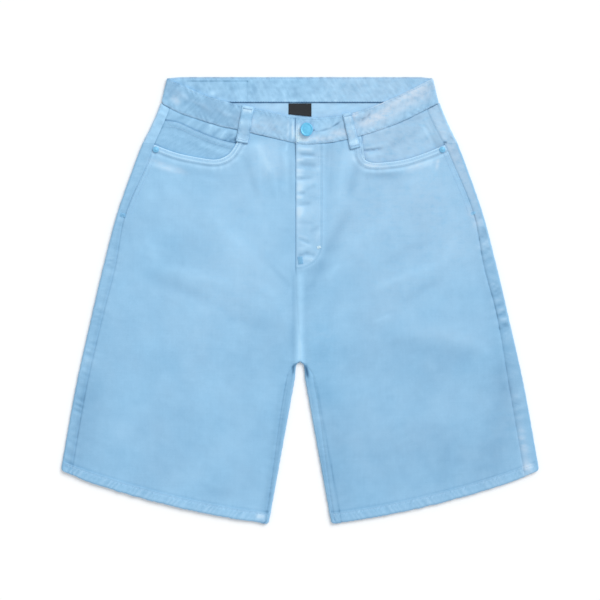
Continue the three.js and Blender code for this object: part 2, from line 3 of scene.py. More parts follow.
import bpy
import numpy as np
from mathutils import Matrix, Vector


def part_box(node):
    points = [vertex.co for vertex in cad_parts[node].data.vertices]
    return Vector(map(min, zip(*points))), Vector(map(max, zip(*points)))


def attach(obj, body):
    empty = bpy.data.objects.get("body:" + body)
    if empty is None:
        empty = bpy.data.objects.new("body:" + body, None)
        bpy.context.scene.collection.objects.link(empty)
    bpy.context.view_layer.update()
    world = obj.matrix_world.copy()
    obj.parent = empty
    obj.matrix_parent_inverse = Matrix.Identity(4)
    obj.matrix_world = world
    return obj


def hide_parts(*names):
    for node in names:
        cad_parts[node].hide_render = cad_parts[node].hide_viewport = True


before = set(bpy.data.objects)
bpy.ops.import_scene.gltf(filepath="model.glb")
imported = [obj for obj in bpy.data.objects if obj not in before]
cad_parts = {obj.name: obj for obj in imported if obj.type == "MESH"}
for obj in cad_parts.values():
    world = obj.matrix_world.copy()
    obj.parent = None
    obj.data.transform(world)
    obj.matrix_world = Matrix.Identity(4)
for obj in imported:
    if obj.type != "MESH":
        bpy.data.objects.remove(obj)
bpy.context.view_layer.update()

# Back panels.
# Each is one piece of light blue cotton twill from the hem to the yoke. It lies on the table, comes round
# the fold at the side and is sewn to the front a little way in, and on the leg it does the same at the inseam.
MM = 0.001
LEFT, RIGHT = 1, -1
DENIM = 1.1
SEAM = 0.06
WAIST_TOP, WAIST_SEAM = 322.5, 286.5
YOKE_SIDE, YOKE_MIDDLE = 228, 212
CROTCH, CROTCH_AT_SIDE = -88.5, -62
HEM_SIDE, HEM_INSEAM, HEM_SAG = -254, -322.5, 8.2
HEM_TURN, HEM_RAISE = 16, 0.7
SEAM_IN = 18
FLY_RAISE, RIM_RAISE = 0.8, 0.9
BAND_SIDE, BAND_OVERLAP, BAND_UNDERLAP = 5.4, 7.1, 4.6


def table(names, rows):
    return {name: np.array(column, float) for name, column in zip(names.split(), zip(*rows))}


def smooth(start, end, value):
    share = np.clip((np.asarray(value, float) - start) / (end - start), 0, 1)
    return share * share * (3 - 2 * share)


def mix(a, b, share):
    return a + (b - a) * share


def curve(xs, ys):
    """A smooth line through the given places, which goes on straight past its ends."""
    last = len(xs) - 1
    before, after = np.maximum(np.arange(last + 1) - 1, 0), np.minimum(np.arange(last + 1) + 1, last)
    slopes = (ys[after] - ys[before]) / (xs[after] - xs[before])

    def at(x):
        x = np.asarray(x, float)
        i = np.clip(np.searchsorted(xs, x) - 1, 0, last - 1)
        span = xs[i + 1] - xs[i]
        share = np.clip((x - xs[i]) / span, 0, 1)
        bent = mix(ys[i], ys[i + 1], share * share * (3 - 2 * share))
        bent += share * (1 - share) ** 2 * span * slopes[i] - share**2 * (1 - share) * span * slopes[i + 1]
        return bent + np.minimum(x - xs[0], 0) * slopes[0] + np.maximum(x - xs[last], 0) * slopes[last]

    return at


# Half the width of the folded garment, and how far the back comes round to the front on each side.
folds_at_side = table("y half left right", [
    (-247, 345.5, 21, 15),
    (-124, 324, 21, 15),
    (-20, 301, 16, 16),
    (50, 284.5, 18, 17),
    (126, 264.5, 13, 12),
    (200, 238.5, 17, 18),
    (228, 227.5, 19, 17),
    (258, 213, 20, 16),
    (WAIST_SEAM, 201, 20, 15),
])
side_edge = curve(folds_at_side["y"], folds_at_side["half"])
side_wrap = {
    LEFT: curve(folds_at_side["y"], folds_at_side["left"]),
    RIGHT: curve(folds_at_side["y"], folds_at_side["right"]),
}
waist_front = table("x seam top_x top", [
    (-201, WAIST_SEAM, -192.5, WAIST_TOP),
    (-175, 272.4, -165.4, 310.1),
    (-148, 263.2, -138, 298.5),
    (-116, 253.2, -107.8, 289.1),
    (-88, 247.3, -82, 282.5),
    (-34, 235, -32, 271.5),
    (0, 228, 0, 265.5),
    (44, 229.4, 42, 266),
    (86, 238.6, 80, 273),
    (144, 258.4, 132, 292.5),
    (201, WAIST_SEAM, 192.5, WAIST_TOP),
])
waist_seam = curve(waist_front["x"], waist_front["seam"])
band_top = curve(waist_front["x"], waist_front["top"])
band_top_x = curve(waist_front["x"], waist_front["top_x"])


def side_seam(side, y):
    return side_edge(y) - side_wrap[side](y)


def inseam_edge(y):
    below = np.maximum(0, CROTCH - np.asarray(y, float))
    arch = np.clip(below / 5.5, 0, 1)
    return SEAM / 2 + (3 + 1.7 * smooth(26, 5, below) + 0.181 * below) * np.sqrt(1 - (1 - arch) ** 2)


def inseam(y):
    below = np.maximum(0, CROTCH - np.asarray(y, float))
    return inseam_edge(y) + mix(3, 12, smooth(0, 22, below)) - 6.5 * smooth(40, 230, below)


def front_seam(y):
    return mix(0, -6, smooth(CROTCH, 40, y))


HEM_IN = float(inseam_edge(HEM_INSEAM))
HEM_OUT = float(side_edge(HEM_SIDE)) - SEAM_IN


def hem_line(h):
    out = (h - HEM_IN) / (HEM_OUT - HEM_IN)
    return mix(HEM_INSEAM, HEM_SIDE, out) - HEM_SAG * 4 * out * (1 - out)


def band_height(side, h):
    return mix(BAND_OVERLAP if side == LEFT else BAND_UNDERLAP, BAND_SIDE, smooth(30, 120, h))


def edge_height(y):
    return mix(4.2, 5.2, smooth(-180, 120, y))


# Creases of the lying cloth: middle, direction, half length, half width and height, each a little different.
creases = table("x y turn length width rise", [
    (-218, 80, -58, 32, 8.7, 0.47), (-102, 91, -46, 67, 13, 0.56), (-87, 57, -30, 49, 10.2, 0.38),
    (-64, 181, -74, 44, 5.8, 0.51), (-41, 178, -79, 44, 5.8, 0.42), (-25, 190, -82, 32, 4.3, -0.33),
    (-203, 193, -17, 32, 3.8, 0.47), (-151, 184, -4, 44, 5.1, -0.38), (-218, 141, -84, 29, 8.7, 0.38),
    (-35, 48, -50, 32, 5.8, 0.38), (-20, 28, -52, 26, 5.1, -0.33), (-55, 16, -38, 38, 7.2, 0.33),
    (-23, -30, -72, 35, 7.2, 0.47), (-138, 146, -24, 35, 8.7, 0.29), (-160, 115, -30, 44, 10.2, -0.33),
    (-145, -42, -14, 58, 10.2, 0.29), (-218, -42, -8, 44, 11.6, -0.22), (-264, -202, 84, 38, 13, 0.33),
    (-116, -265, -8, 35, 8.7, 0.33), (-72, -86, 78, 44, 8.7, 0.22), (-35, -202, 80, 52, 7.2, 0.29),
    (-244, 57, -76, 44, 5.8, 0.29), (-273, -86, -78, 52, 7.2, 0.22), (-188, -144, -20, 64, 14.5, 0.22),
    (-93, -173, 60, 44, 13, -0.22), (96, 109, 60, 44, 11.6, -0.33), (116, 187, 1, 38, 4.3, 0.64),
    (145, 175, 6, 44, 5.8, -0.33), (188, 196, 20, 23, 5.1, 0.47), (142, 126, 30, 44, 7.2, -0.29),
    (216, 71, 65, 38, 7.2, 0.38), (119, -28, 22, 20, 3.6, 0.38), (130, -54, 12, 44, 8.7, 0.38),
    (72, 4, 24, 35, 8.7, 0.33), (44, -25, 40, 32, 7.2, 0.33), (32, -51, 60, 29, 5.8, -0.38),
    (203, -155, 80, 38, 13, 0.38), (246, -138, 84, 44, 11.6, -0.29), (212, -225, 86, 38, 8.7, 0.29),
    (139, -202, 74, 58, 14.5, 0.29), (87, -144, 66, 58, 14.5, -0.29), (261, -187, -78, 44, 8.7, 0.29),
    (58, -202, -78, 58, 8.7, 0.29), (58, 193, 76, 38, 7.2, 0.42), (44, 187, 84, 38, 5.1, -0.29),
    (38, 199, 86, 23, 3.2, 0.29), (244, 109, -60, 26, 5.8, 0.33), (255, 16, -72, 38, 7.2, 0.29),
    (273, -62, -30, 26, 7.2, -0.33), (174, 139, -30, 38, 8.7, 0.22), (220, 146, -62, 35, 7.2, -0.22),
    (9.5, -102, -76, 16, 2.4, -1.3), (-8.5, -97, 70, 9, 2.2, -1), (-167, 14.5, -22, 75, 10, -0.72),
    (-80, -30, -18, 50, 10, -0.45), (-152, 35, -14, 65, 9, 0.72), (-80, 2, -20, 40, 9, 0.33),
    (159, 74, 27, 50, 8, -0.45), (152, 35, 22, 75, 8, 0.65), (174, 14.5, 35, 45, 8, -0.52),
    (174, 110, 25, 50, 10, 0.26), (246, -64, -20, 42, 9, 0.45), (189, -76, -8, 95, 15, -0.5),
    (-78, 187, -72, 35, 5.8, -0.25), (52, 97, 63, 55, 9, -0.5), (66, 86, 62, 50, 12, 0.12),
    (48, 45, 57, 24, 6, 0.32), (181, -49, 0, 45, 9, 0.3), (24, 35, 57, 36, 7, -0.5), (205, -44, -6, 95, 16, 0.34),
    (107, 106, 36, 52, 8.7, 0.2), (79, 182, 74, 48, 8, -0.6),
])


def patches(marks, x, y, amount):
    """The sum of the long soft marks of a table, at each place."""
    total = np.zeros(np.broadcast(x, y).shape)
    for mx, my, turn, length, width, rise in zip(*(marks[k] for k in ("x", "y", "turn", "length", "width", amount))):
        c, s = math.cos(math.radians(turn)), math.sin(math.radians(turn))
        along = ((x - mx) * c + (y - my) * s) / length
        across = ((y - my) * c - (x - mx) * s) / width
        total += rise * np.exp(-across * across) * (1 - smooth(0.35, 1, np.abs(along)))
    return total


def mottle(x, y, size, seed):
    """Soft uneven values from -1 to 1, with features of about the given size."""
    lattice = np.random.default_rng(seed).uniform(-1, 1, (64, 64))
    u, v = np.broadcast_arrays(np.asarray(x, float) / size + 20, np.asarray(y, float) / size + 20)
    i, j = np.floor(u).astype(int), np.floor(v).astype(int)
    s, t = smooth(0, 1, u - i), smooth(0, 1, v - j)
    at = lambda a, b: lattice[(i + a) % 64, (j + b) % 64]
    return mix(mix(at(0, 0), at(1, 0), s), mix(at(0, 1), at(1, 1), s), t)


def crumpled(x, y):
    """Fine crumples of washed cloth, drawn out along the way in which each leg is pulled."""
    c, s = math.cos(0.42), np.where(x < 0, -1, 1) * math.sin(0.42)
    u, v = x * c + y * s, y * c - x * s
    return 0.6 * mottle(u / 2.8, v, 7, 71) + 0.5 * mottle(v / 2, u, 9, 72) + 0.4 * mottle(x, y, 5, 73)


def pucker(along, away, pitch, width, seed):
    """How cloth rises and falls beside a seam: uneven short waves that die out away from it."""
    swing = np.sin(2 * np.pi * along / pitch + 1.9 * np.sin(2 * np.pi * along / (pitch * 3.7) + seed))
    swell = 0.62 + 0.38 * np.sin(2 * np.pi * along / (pitch * 6.1) + 2.3 * seed)
    return swing * swell * np.exp(-((away / width) ** 2))


def lying_height(side, h, y):
    """Upper face of the garment with no sewing: low at its folds and level with the waistband at the top."""
    x = side * h
    middle = mix(4.6, 5.5, smooth(-180, 100, y)) + patches(creases, x, y, "rise")
    middle = middle + 0.25 * mottle(x, y, 52, 3) + 0.12 * mottle(x, y, 19, 4) + 0.09 * crumpled(x, y)
    off_inseam = np.where(y < CROTCH, smooth(2, 45, h - inseam_edge(y)), 1)
    lying = mix(edge_height(y), middle, smooth(4, 60, side_edge(y) - h) * off_inseam)
    at_waist = band_height(side, h) - FLY_RAISE - (0.8 * smooth(60, 30, h) if side == LEFT else 0)
    return mix(lying, at_waist, smooth(34, 4, waist_seam(x) - y))


def line_of(off, width):
    """A soft line: 1 where `off` is nothing, and next to nothing beyond twice the width."""
    return np.exp(-((off / width) ** 2))


def sewn_relief(side, h, y):
    """What the seams do to the cloth: its height, how far it is rubbed white, and how pale or deep it looks, from its
    dye and from painted shade and highlight at folds, ridges and edges.
    """
    x = side * h
    seed = 1.3 if side == LEFT else 4.1
    # side seam, with the roped strip outside it
    off = side_seam(side, y) - h
    if side == LEFT:
        strength = mix(0.45, 1.1, smooth(-62, -30, y) * smooth(132, 118, y))
        line = mix(0.25, 0.75, smooth(-62, -30, y) * smooth(140, 124, y))
        wave = pucker(y + 0.35 * off, 0, 20, 1, seed) + 0.5 * pucker(y - 0.4 * off, 0, 9, 1, seed + 1)
    else:
        strength, line = 0.45 + 0.2 * smooth(150, 118, y), 0.35
        wave = pucker(y + 0.4 * off, 0, 11.5, 1, seed) + 0.4 * pucker(y - 0.3 * off, 0, 19, 1, seed + 1)
    roped = strength * wave * np.where(off < 0, line_of(off + 8, 7.5), 0.35 * line_of(off, 7))
    rise = 0.6 * roped - 0.5 * line_of(off, 1.1) + 0.3 * line_of(off + 2.6, 1.8) * strength
    wear = np.clip(roped, 0, 1) * (0.14 if side == LEFT else 0.05)
    lumps = 0.5 + 0.5 * pucker(y, 0, 17, 1, 0.7)
    wear = wear + ((0.16 + 0.26 * lumps) * line_of(off + 6, 6) * smooth(-150, -215, y) if side == LEFT else 0)
    dashed = 1 + 0.5 * pucker(y, 0, 20, 1, seed + 3)
    line = line * mix(0.4, 1, smooth(-238, -228, y))
    tone = 0.8 * roped - 1.3 * line * dashed * line_of(off, 1.1) + 0.2 * line_of(off - 3, 2) - 0.25 * line_of(off + 3, 3)
    # The strip outside the seam is darkened: painted shade towards the folded edge.
    if side == LEFT:
        tone = tone - 0.25 * smooth(140, 100, y) * line_of(off, 12)
        outside = smooth(1, -3, off)
        tone = tone - outside * (0.4 * smooth(-80, -40, y) + 0.5 * smooth(200, 230, y))
        wear = wear + 0.24 * outside * smooth(60, 200, y)
    else:
        beside = line_of(off - 1, 5) + 0.5 * smooth(1, -3, off)
        tone = tone - 0.35 * smooth(190, 130, y) * smooth(-235, -175, y) * beside
    # inseam, with painted shade along the leg's inner fold
    below = smooth(CROTCH, CROTCH - 14, y)
    off = h - inseam(y)
    roped = pucker(y, off, 9, 5, seed + 2) * below
    rise = rise + 0.2 * roped - 0.5 * line_of(off, 1.3) * below
    from_edge = h - inseam_edge(y)
    tone = tone - (0.8 * line_of(from_edge - 3, 7) if side == RIGHT else 0.75 * line_of(from_edge - 1.5, 4.5)) * below
    fade = mix(0.35, 1, smooth(-190, -110, y)) * smooth(-96, -130, y)
    further = smooth(-100, -140, y)
    tone = tone + 0.25 * roped - (1.1 if side == RIGHT else 0.25) * line_of(off, 1.4) * fade
    if side == LEFT:
        tone = tone - (0.8 * line_of(from_edge - 15, 1.5) + 0.3 * line_of(from_edge, 45)) * further
    else:
        tone = tone - (0.7 * line_of(off + 4, 1.3) * smooth(-240, -200, y) + 0.45 * line_of(off - 4, 5)) * further
    # turned hem, whose layers twist against each other and rope on the slant; painted shade lies along its folded lower
    # edge
    up = y - hem_line(h)
    within = smooth(HEM_TURN + 1.4, HEM_TURN - 0.4, up)
    roped = pucker(h + 0.7 * up, up - 7, 7.8, 6.5, seed + 5)
    fine = pucker(h - 0.5 * up, up - 12.5, 4.1, 2.6, seed + 7)
    beyond = pucker(h, up - 18, 10.5, 6, seed + 6) * (up > 16)
    rise = rise + 0.3 * roped + 0.15 * beyond - 0.3 * line_of(up - 13, 1) + HEM_RAISE * within - 0.9 * line_of(up, 0.9)
    wear = wear + 0.1 * np.clip(roped, 0, 1) * within
    tone = tone + within * (0.45 * roped + 0.7 * fine + 0.1) - 0.8 * line_of(up - 17, 1.3) - 0.5 * line_of(up, 2)
    tone = tone + 0.5 * (line_of(up - 5, 1.6) + line_of(up - 12.4, 1.6)) * (0.5 + 0.5 * pucker(h, 0, 5.2, 1, seed))
    # below the waistband, with a painted shadow line under the band's lower edge
    off = waist_seam(x) - y
    gathered = pucker(x, off, 12, 11, seed + 8)
    rise = rise + 0.2 * gathered - 0.6 * line_of(off, 1.3)
    tone = tone + 0.25 * gathered - 2.4 * line_of(off, 1.0) * mix(1, 0.35, smooth(20, 10, np.abs(x - 8)))
    # middle seam below the fly, a felled ridge that widens towards the crotch, with a painted highlight on the ridge
    # and painted shade beside it
    lower = smooth(46, 34, y)
    broad = mix(4.4, 6.5, smooth(-50, CROTCH, y))
    off = h - side * front_seam(y)
    ridge = line_of(x + 0.6 - 0.25 * (broad - 4.4), broad) * lower
    beside = (line_of(x + 10, 2.6) + 0.5 * line_of(x - 9, 3)) * lower
    rise = rise + 0.6 * ridge - 0.3 * beside + 0.1 * pucker(y, off, 9, 7, seed + 9) * lower
    rise = rise - mix(0.5, 0.12, lower) * line_of(off, 1.0)
    tone = tone + mix(0.9, 1.6, smooth(-20, -85, y)) * ridge - 0.5 * beside - 1.0 * line_of(off, 1.2) * (1 - lower)
    # rolled edge of the crotch, with painted shade round it
    arch = np.hypot(h, (y - CROTCH + 2) / 1.2)
    tone = tone - 1.2 * line_of(arch - 2, 2.2)
    return rise, wear, tone


def hem_shape(side, h, y):
    """Rounds the corners of the leg's opening and lets its edge swing a little with the roped hem."""
    up = y - hem_line(h)
    swing = 0.35 * pucker(h, 0, 8.6, 1, 1.7 + side) + 0.45 * pucker(h, 0, 31, 1, 4.4 - side)
    rounded = lambda radius: radius - np.sqrt(radius**2 - (radius - np.clip(up, 0, radius)) ** 2)
    outer_end, inner_end = side_edge(y), inseam_edge(y)
    moved = h - rounded(7) * smooth(outer_end - 38, outer_end - 2, h) + rounded(4) * smooth(inner_end + 22, inner_end + 1, h)
    return moved, y + swing * np.exp(-np.clip(up, 0, 99) / 7)


# Row of the panel `up` mm above the hem at its inner end, as heights of that end and of the side.
def leg_row(up):
    above = np.maximum(up - 18, 0)
    share = above / (CROTCH - HEM_INSEAM - 18)
    outer = HEM_SIDE + np.minimum(up, 18) + share * (CROTCH_AT_SIDE - HEM_SIDE - 18)
    return HEM_INSEAM + up, outer, HEM_SAG * (1 - share) ** 2


def row_height(row, h, on_leg):
    inner, outer, sag = row
    start = inseam_edge(inner) if on_leg else 0
    out = np.maximum(0, (h - start) / (side_edge(outer) - SEAM_IN - start))
    return mix(inner, outer, out) - sag * 4 * out * (1 - out)


HEM_STEPS = [0, 0.5, 1.3, 2.6, 4.2, 6, 8, 10, 11.4, 12.2, 13, 13.8, 14.8, 15.6, 16.4, 17.6, 20, 23, 26.5]
LEG_STEPS = np.concatenate([HEM_STEPS, np.linspace(29, CROTCH - HEM_INSEAM - 2.5, 84), [CROTCH - HEM_INSEAM]])
UNDER_STEPS = np.concatenate([np.linspace(0, 0.93, 22)[1:], np.linspace(0.93, 1, 14)[1:]])


def section_of_back(side, at_fold, height_of, raised, inner=None):
    """One row across a back panel: the strip on the front, the side fold, the underside and a leg's inner fold.

    Each point is h, y and height of the outer face, h and height of the inner face, and wear. Heights that are
    left open are those of the lying front.
    """
    points = []

    def upper(h):
        points.append((h, float(height_of(h, True)), np.nan, h, np.nan, 0))

    def roll(edge, outward, height, turns, seed):
        radius = height / 2
        centre = edge - outward * radius
        for turn in turns:
            angle = math.pi / 2 * turn
            y = float(height_of(centre + outward * radius * math.cos(angle), turn > 0))
            roped = float(pucker(y, 0, 14, 1, seed)) * 0.3 * max(0, math.cos(angle - 0.5))
            out, within = radius + roped, radius - DENIM + roped * 0.5
            points.append((
                centre + outward * out * math.cos(angle), y, max(0, radius + out * math.sin(angle)),
                centre + outward * within * math.cos(angle), max(DENIM, radius + within * math.sin(angle)),
                max(0, roped) * 0.4,
            ))
        return centre

    seam = float(side_seam(side, at_fold)) + SEAM / 2
    fold = float(side_edge(at_fold)) - 2.2 * float(smooth(246, 286, at_fold))
    height = float(edge_height(at_fold)) + raised
    for share in (0, 0.05, 0.12, 0.22, 0.33, 0.45, 0.58, 0.7, 0.82, 0.92):
        upper(mix(seam, fold - height / 2, share))
    turns = np.linspace(1, -1, 9)
    centre = roll(fold, 1, height, turns, 1.3 if side == LEFT else 4.1)
    start = SEAM / 2 if inner is None else inner["edge"] + inner["height"] / 2
    for share in UNDER_STEPS if inner is None else UNDER_STEPS[:-1]:
        h = mix(centre, start, share)
        points.append((h, float(height_of(h, False)), 0, h, DENIM, 0))
    if inner is not None:
        inner_centre = roll(inner["edge"], -1, inner["height"], turns[::-1], 2.2)
        for share in (0.2, 0.4, 0.6, 0.8, 0.93, 1):
            upper(mix(inner_centre, inner["seam"] - SEAM / 2, share))
    return points


def under_relief(side, h, y):
    """Hollows of the seams and shallow creases in the face that lies on the table, and how pale or deep it looks, with
    painted shade in the hollows and creases.
    """
    yoke_line = row_height((YOKE_MIDDLE, YOKE_SIDE, 0), h, False)
    up = y - hem_line(h)
    seat = smooth(CROTCH, CROTCH + 6, y)
    hollow = 0.5 * line_of(y - yoke_line, 1.0) + 0.3 * line_of(y - yoke_line - 2, 0.9) + 0.3 * line_of(y - yoke_line - 7.5, 0.9)
    hollow = hollow + seat * (0.5 * line_of(h, 1.0) + (0.3 * line_of(h - 2, 0.9) + 0.3 * line_of(h - 7.5, 0.9)) * (side == LEFT))
    hollow = hollow + 0.3 * line_of(up - 13, 1) + 0.4 * line_of(up - 16.8, 1) + 0.4 * line_of(WAIST_SEAM - y, 1)
    roped = 0.5 + 0.5 * pucker(h, up - 7, 7.8, 6.5, 3.1)
    creased = np.clip(patches(creases, -side * h, y, "rise"), 0, 1)
    tone = 0.5 * pucker(h, y - yoke_line, 9, 6, 5.2) + 0.4 * seat * pucker(y, h, 9, 6, 6.4)
    tone = tone + 0.4 * (roped - 0.5) * (up < 17) - hollow - 0.35 * creased + 0.3 * line_of(y - yoke_line - 4.6, 2)
    return hollow + 0.35 * creased + 0.25 * (1 - roped) * (up < 16), tone


def back_piece(name, side, sections, has=None, raise_inside=None):
    """A back panel or yoke from its rows of points."""
    h, y, z, h_in, z_in, wear = np.moveaxis(np.array(sections, float), -1, 0)
    rise, rubbed, tone = sewn_relief(side, h, y)
    lying = np.isnan(z)
    under = (z == 0) & (z_in == DENIM)
    z = np.where(lying, lying_height(side, h, y) + rise, z)
    z_in = np.where(lying, z - DENIM, z_in)
    hollow, under_tone = under_relief(side, h, y)
    z = np.where(under, hollow, z)
    z_in = z_in + np.where(under, hollow if raise_inside is None else np.maximum(hollow, raise_inside(side * h, y)), 0)
    # Points of the rolled edges are darkened with painted shade.
    tone = tone_at(side * h, y) + np.where(lying, tone, np.where(under, under_tone, -0.35))
    if raise_inside is not None:
        tone = tone + 0.55 * mottle(side * h, y, 7, 23) + 0.45 * mottle(side * h + y, y, 4, 24) + 0.2
    moved, y_out = hem_shape(side, h, y)
    moved_in, y_in = hem_shape(side, h_in, y)
    outer = np.stack([side * moved, y_out, z], -1)
    within = np.stack([side * moved_in, y_in, z_in], -1)
    wear = np.where(lying, rubbed + patches(frosts, side * h, y, "amount"), wear)
    wear = wear + np.where(lying | (raise_inside is None), 0, 0.14)
    return shell(name, outer, within, {"wear": wear, "tone": tone}, side == RIGHT, has)


def shell(name, outer, inner, marks, flip=False, has=None, along=False):
    """A closed sheet between the points of its two faces, given in rows and columns."""
    rows, columns = outer.shape[:2]
    count = rows * columns
    index = np.arange(count).reshape(rows, columns)
    cells = np.stack([index[:-1, :-1], index[:-1, 1:], index[1:, 1:], index[1:, :-1]], -1)
    upper = cells.reshape(-1, 4) if has is None else cells[has]
    edges = np.concatenate([upper[:, [0, 1]], upper[:, [1, 2]], upper[:, [2, 3]], upper[:, [3, 0]]])
    border = edges[~np.isin(edges[:, 0] * count + edges[:, 1], edges[:, 1] * count + edges[:, 0])]
    rim = np.stack([border[:, 1], border[:, 0], border[:, 0] + count, border[:, 1] + count], -1)
    faces = np.concatenate([upper, upper[:, ::-1] + count, rim])
    if flip:
        faces = faces[:, ::-1]
    points = np.concatenate([outer.reshape(-1, 3), inner.reshape(-1, 3)])
    if along:
        across = np.cumsum(np.linalg.norm(np.diff(outer, axis=1, prepend=outer[:, :1]), axis=2), axis=1)
        up = np.cumsum(np.linalg.norm(np.diff(outer, axis=0, prepend=outer[:1]), axis=2), axis=0)
        place = np.tile(np.stack([across, up], -1).reshape(-1, 2), (2, 1))
    else:
        place = np.stack([points[:, 0] - np.sign(points[:, 0]) * np.abs(points[:, 2] - 2.5), points[:, 1]], -1)
    return mesh_piece(name, points * MM, faces, {k: v.reshape(-1) for k, v in marks.items()}, place * MM)


def mesh_piece(name, points, faces, marks=None, place=None):
    used, packed = np.unique(faces, return_inverse=True)
    faces = packed.reshape(faces.shape)
    mesh = bpy.data.meshes.new(name)
    mesh.vertices.add(len(used))
    mesh.vertices.foreach_set("co", points[used].astype(np.float32).reshape(-1))
    mesh.loops.add(faces.size)
    mesh.loops.foreach_set("vertex_index", faces.reshape(-1).astype(np.int32))
    mesh.polygons.add(len(faces))
    mesh.polygons.foreach_set("loop_start", np.arange(0, faces.size, faces.shape[1], dtype=np.int32))
    mesh.update(calc_edges=True)
    mesh.shade_smooth()
    mesh.set_sharp_from_angle(angle=math.radians(48))
    for mark, values in (marks or {}).items():
        doubled = values if len(values) == len(points) else np.concatenate([values, values])
        mesh.attributes.new(mark, "FLOAT", "POINT").data.foreach_set("value", doubled[used].astype(np.float32))
    if place is not None:
        layer = mesh.uv_layers.new(name="cloth")
        layer.data.foreach_set("uv", place[used][faces.reshape(-1)].astype(np.float32).reshape(-1))
    piece = bpy.data.objects.new(name, mesh)
    bpy.context.scene.collection.objects.link(piece)
    return piece


# Paler and deeper places: washed-out and deeper dye, painted shade and highlight along the creases of the legs and
# hips, and painted shadow in the dents beside the crotch; positive is paler.
dye_and_shade_marks = table("x y turn length width tone", [
    (-215, 74, -60, 29, 7.2, 0.31), (-104, 103, -47, 67, 11.6, 0.36), (-152, 74, -15, 52, 18.8, -0.22),
    (-51, 204, -65, 29, 6.5, 0.78), (-32, 175, -80, 32, 3.8, -0.31), (-22, 209, -80, 20, 3.8, 0.46),
    (-199, 194, -17, 30, 3.5, 0.94), (-136, 183, -4, 52, 4.3, -0.31), (-220, 139, -85, 26, 8.7, 0.36),
    (-200, 158, -72, 23, 5.8, -0.31), (-28, 36, -50, 29, 3.8, -0.41), (-12, -48, 88, 29, 5.1, -0.41),
    (-116, -277, -9, 32, 7.2, -0.36), (-268, -202, 86, 38, 15.9, 0.2), (-55, 57, -40, 35, 8.7, 0.2),
    (-218, 1, -8, 58, 17.4, 0.1), (-99, -64, -12, 38, 8.7, 0.16), (-246, 88, -76, 38, 5.8, -0.31),
    (-36, 1, -60, 38, 7.2, 0.16), (23, 48, 42, 20, 7.2, -0.84), (39, 204, 86, 26, 2.6, -0.41),
    (99, 196, 0, 17, 2.9, 0.71), (216, 74, 65, 36, 6.5, 0.41), (119, -25, 22, 19, 2.6, 0.51),
    (258, -138, 84, 38, 11.6, -0.2), (212, -231, 86, 35, 7.2, -0.26), (290, -115, -76, 38, 11.6, -0.31),
    (65, -187, 80, 87, 17.4, -0.16), (87, -6, 10, 52, 10.2, 0.16), (225, -6, 0, 44, 13, 0.12),
    (44, -71, 0, 35, 11.6, -0.16), (0, 165, 0, 400, 120, 0.31), (-145, -245, -6, 174, 58, -0.12),
    (145, -245, 8, 174, 58, -0.36), (-297, -144, 78, 130, 20.3, -0.16), (-167, 14.5, -22, 75, 9, -0.56),
    (-80, -30, -18, 50, 9, -0.38), (-152, 36, -14, 65, 8, 0.38), (159, 74, 27, 50, 8, -0.44),
    (152, 36, 22, 75, 7, 0.44), (174, 14.5, 35, 45, 7, -0.44), (246, -64, -20, 42, 8, 0.31),
    (190, -215, 0, 190, 80, -0.35), (145, -86, 0, 120, 45, -0.25), (-87, 74, 90, 170, 60, 0.15),
    (-246, -230, -8, 100, 50, -0.25), (-319, -187, 76, 110, 22, -0.6), (-43, 212, -70, 34, 22, 0.55),
    (189, -78, -8, 95, 20, -0.3), (-70, 178, -75, 40, 5, -0.3), (240, -85, -15, 80, 30, -0.25),
    (285, -165, 78, 130, 24, -0.5), (48, 43, 57, 22, 5, 0.4), (181, -48, 0, 42, 8, 0.2),
    (199, -158, 80, 32, 16, 0.25), (125, 184, -2, 46, 5, -0.4), (116, 181, 0, 34, 4.6, -0.6),
    (-58, 193, -86, 28, 2.6, 0.3), (-35, 175, -85, 36, 3.6, 0.3), (-27.5, 193, -86, 28, 2.6, -0.35),
    (-20, 185, -88, 36, 2.4, 0.35), (-13.5, 185, -89, 40, 2.4, -0.35), (-19, 223, 80, 8, 2, 1),
    (-64, 226, 10, 16, 7, 0.6), (60, 180, 84, 60, 5, 0.35), (45, 190, 88, 48, 2.6, -0.3),
    (72, 210, 80, 24, 8, 0.7), (165, 194, 25, 18, 4, 0.2), (199, 198, 80, 10, 2, 0.6),
    (190, 199, 72, 9, 1.8, 0.45), (180, 196, 20, 14, 3, 0.5), (185, 196, 18, 28, 9, 0.25),
    (-145, -40, 88, 120, 32, 0.22), (300, -180, 78, 90, 22, -0.3), (9.6, -101, -78, 14, 2.5, -2.4),
    (-8.4, -93.6, 52, 7, 2.2, -2), (-9.2, -101, 84, 6, 1.8, -1.4), (28, -90, 88, 85, 26, -0.15),
    (24, 35, 57, 36, 7, -0.7), (205, -44, -6, 95, 16, 0.22), (67, 74, 60, 52, 10.2, 0.2),
    (104, 103, 35, 52, 8.7, 0.15), (59, 184, 76, 44, 8, 0.1), (80, 184, 74, 48, 7, -0.85),
    (209.5, 229.4, 2, 5, 1.3, -1.7), (52, 97, 63, 55, 8, -0.75), (1, 66, 0, 7, 3, -0.7),
    (325, -243.6, 60, 6, 3, -1.2), (330, -240, 22, 9, 4, 2.2), (-57, -312, -4, 8, 4, 2),
])


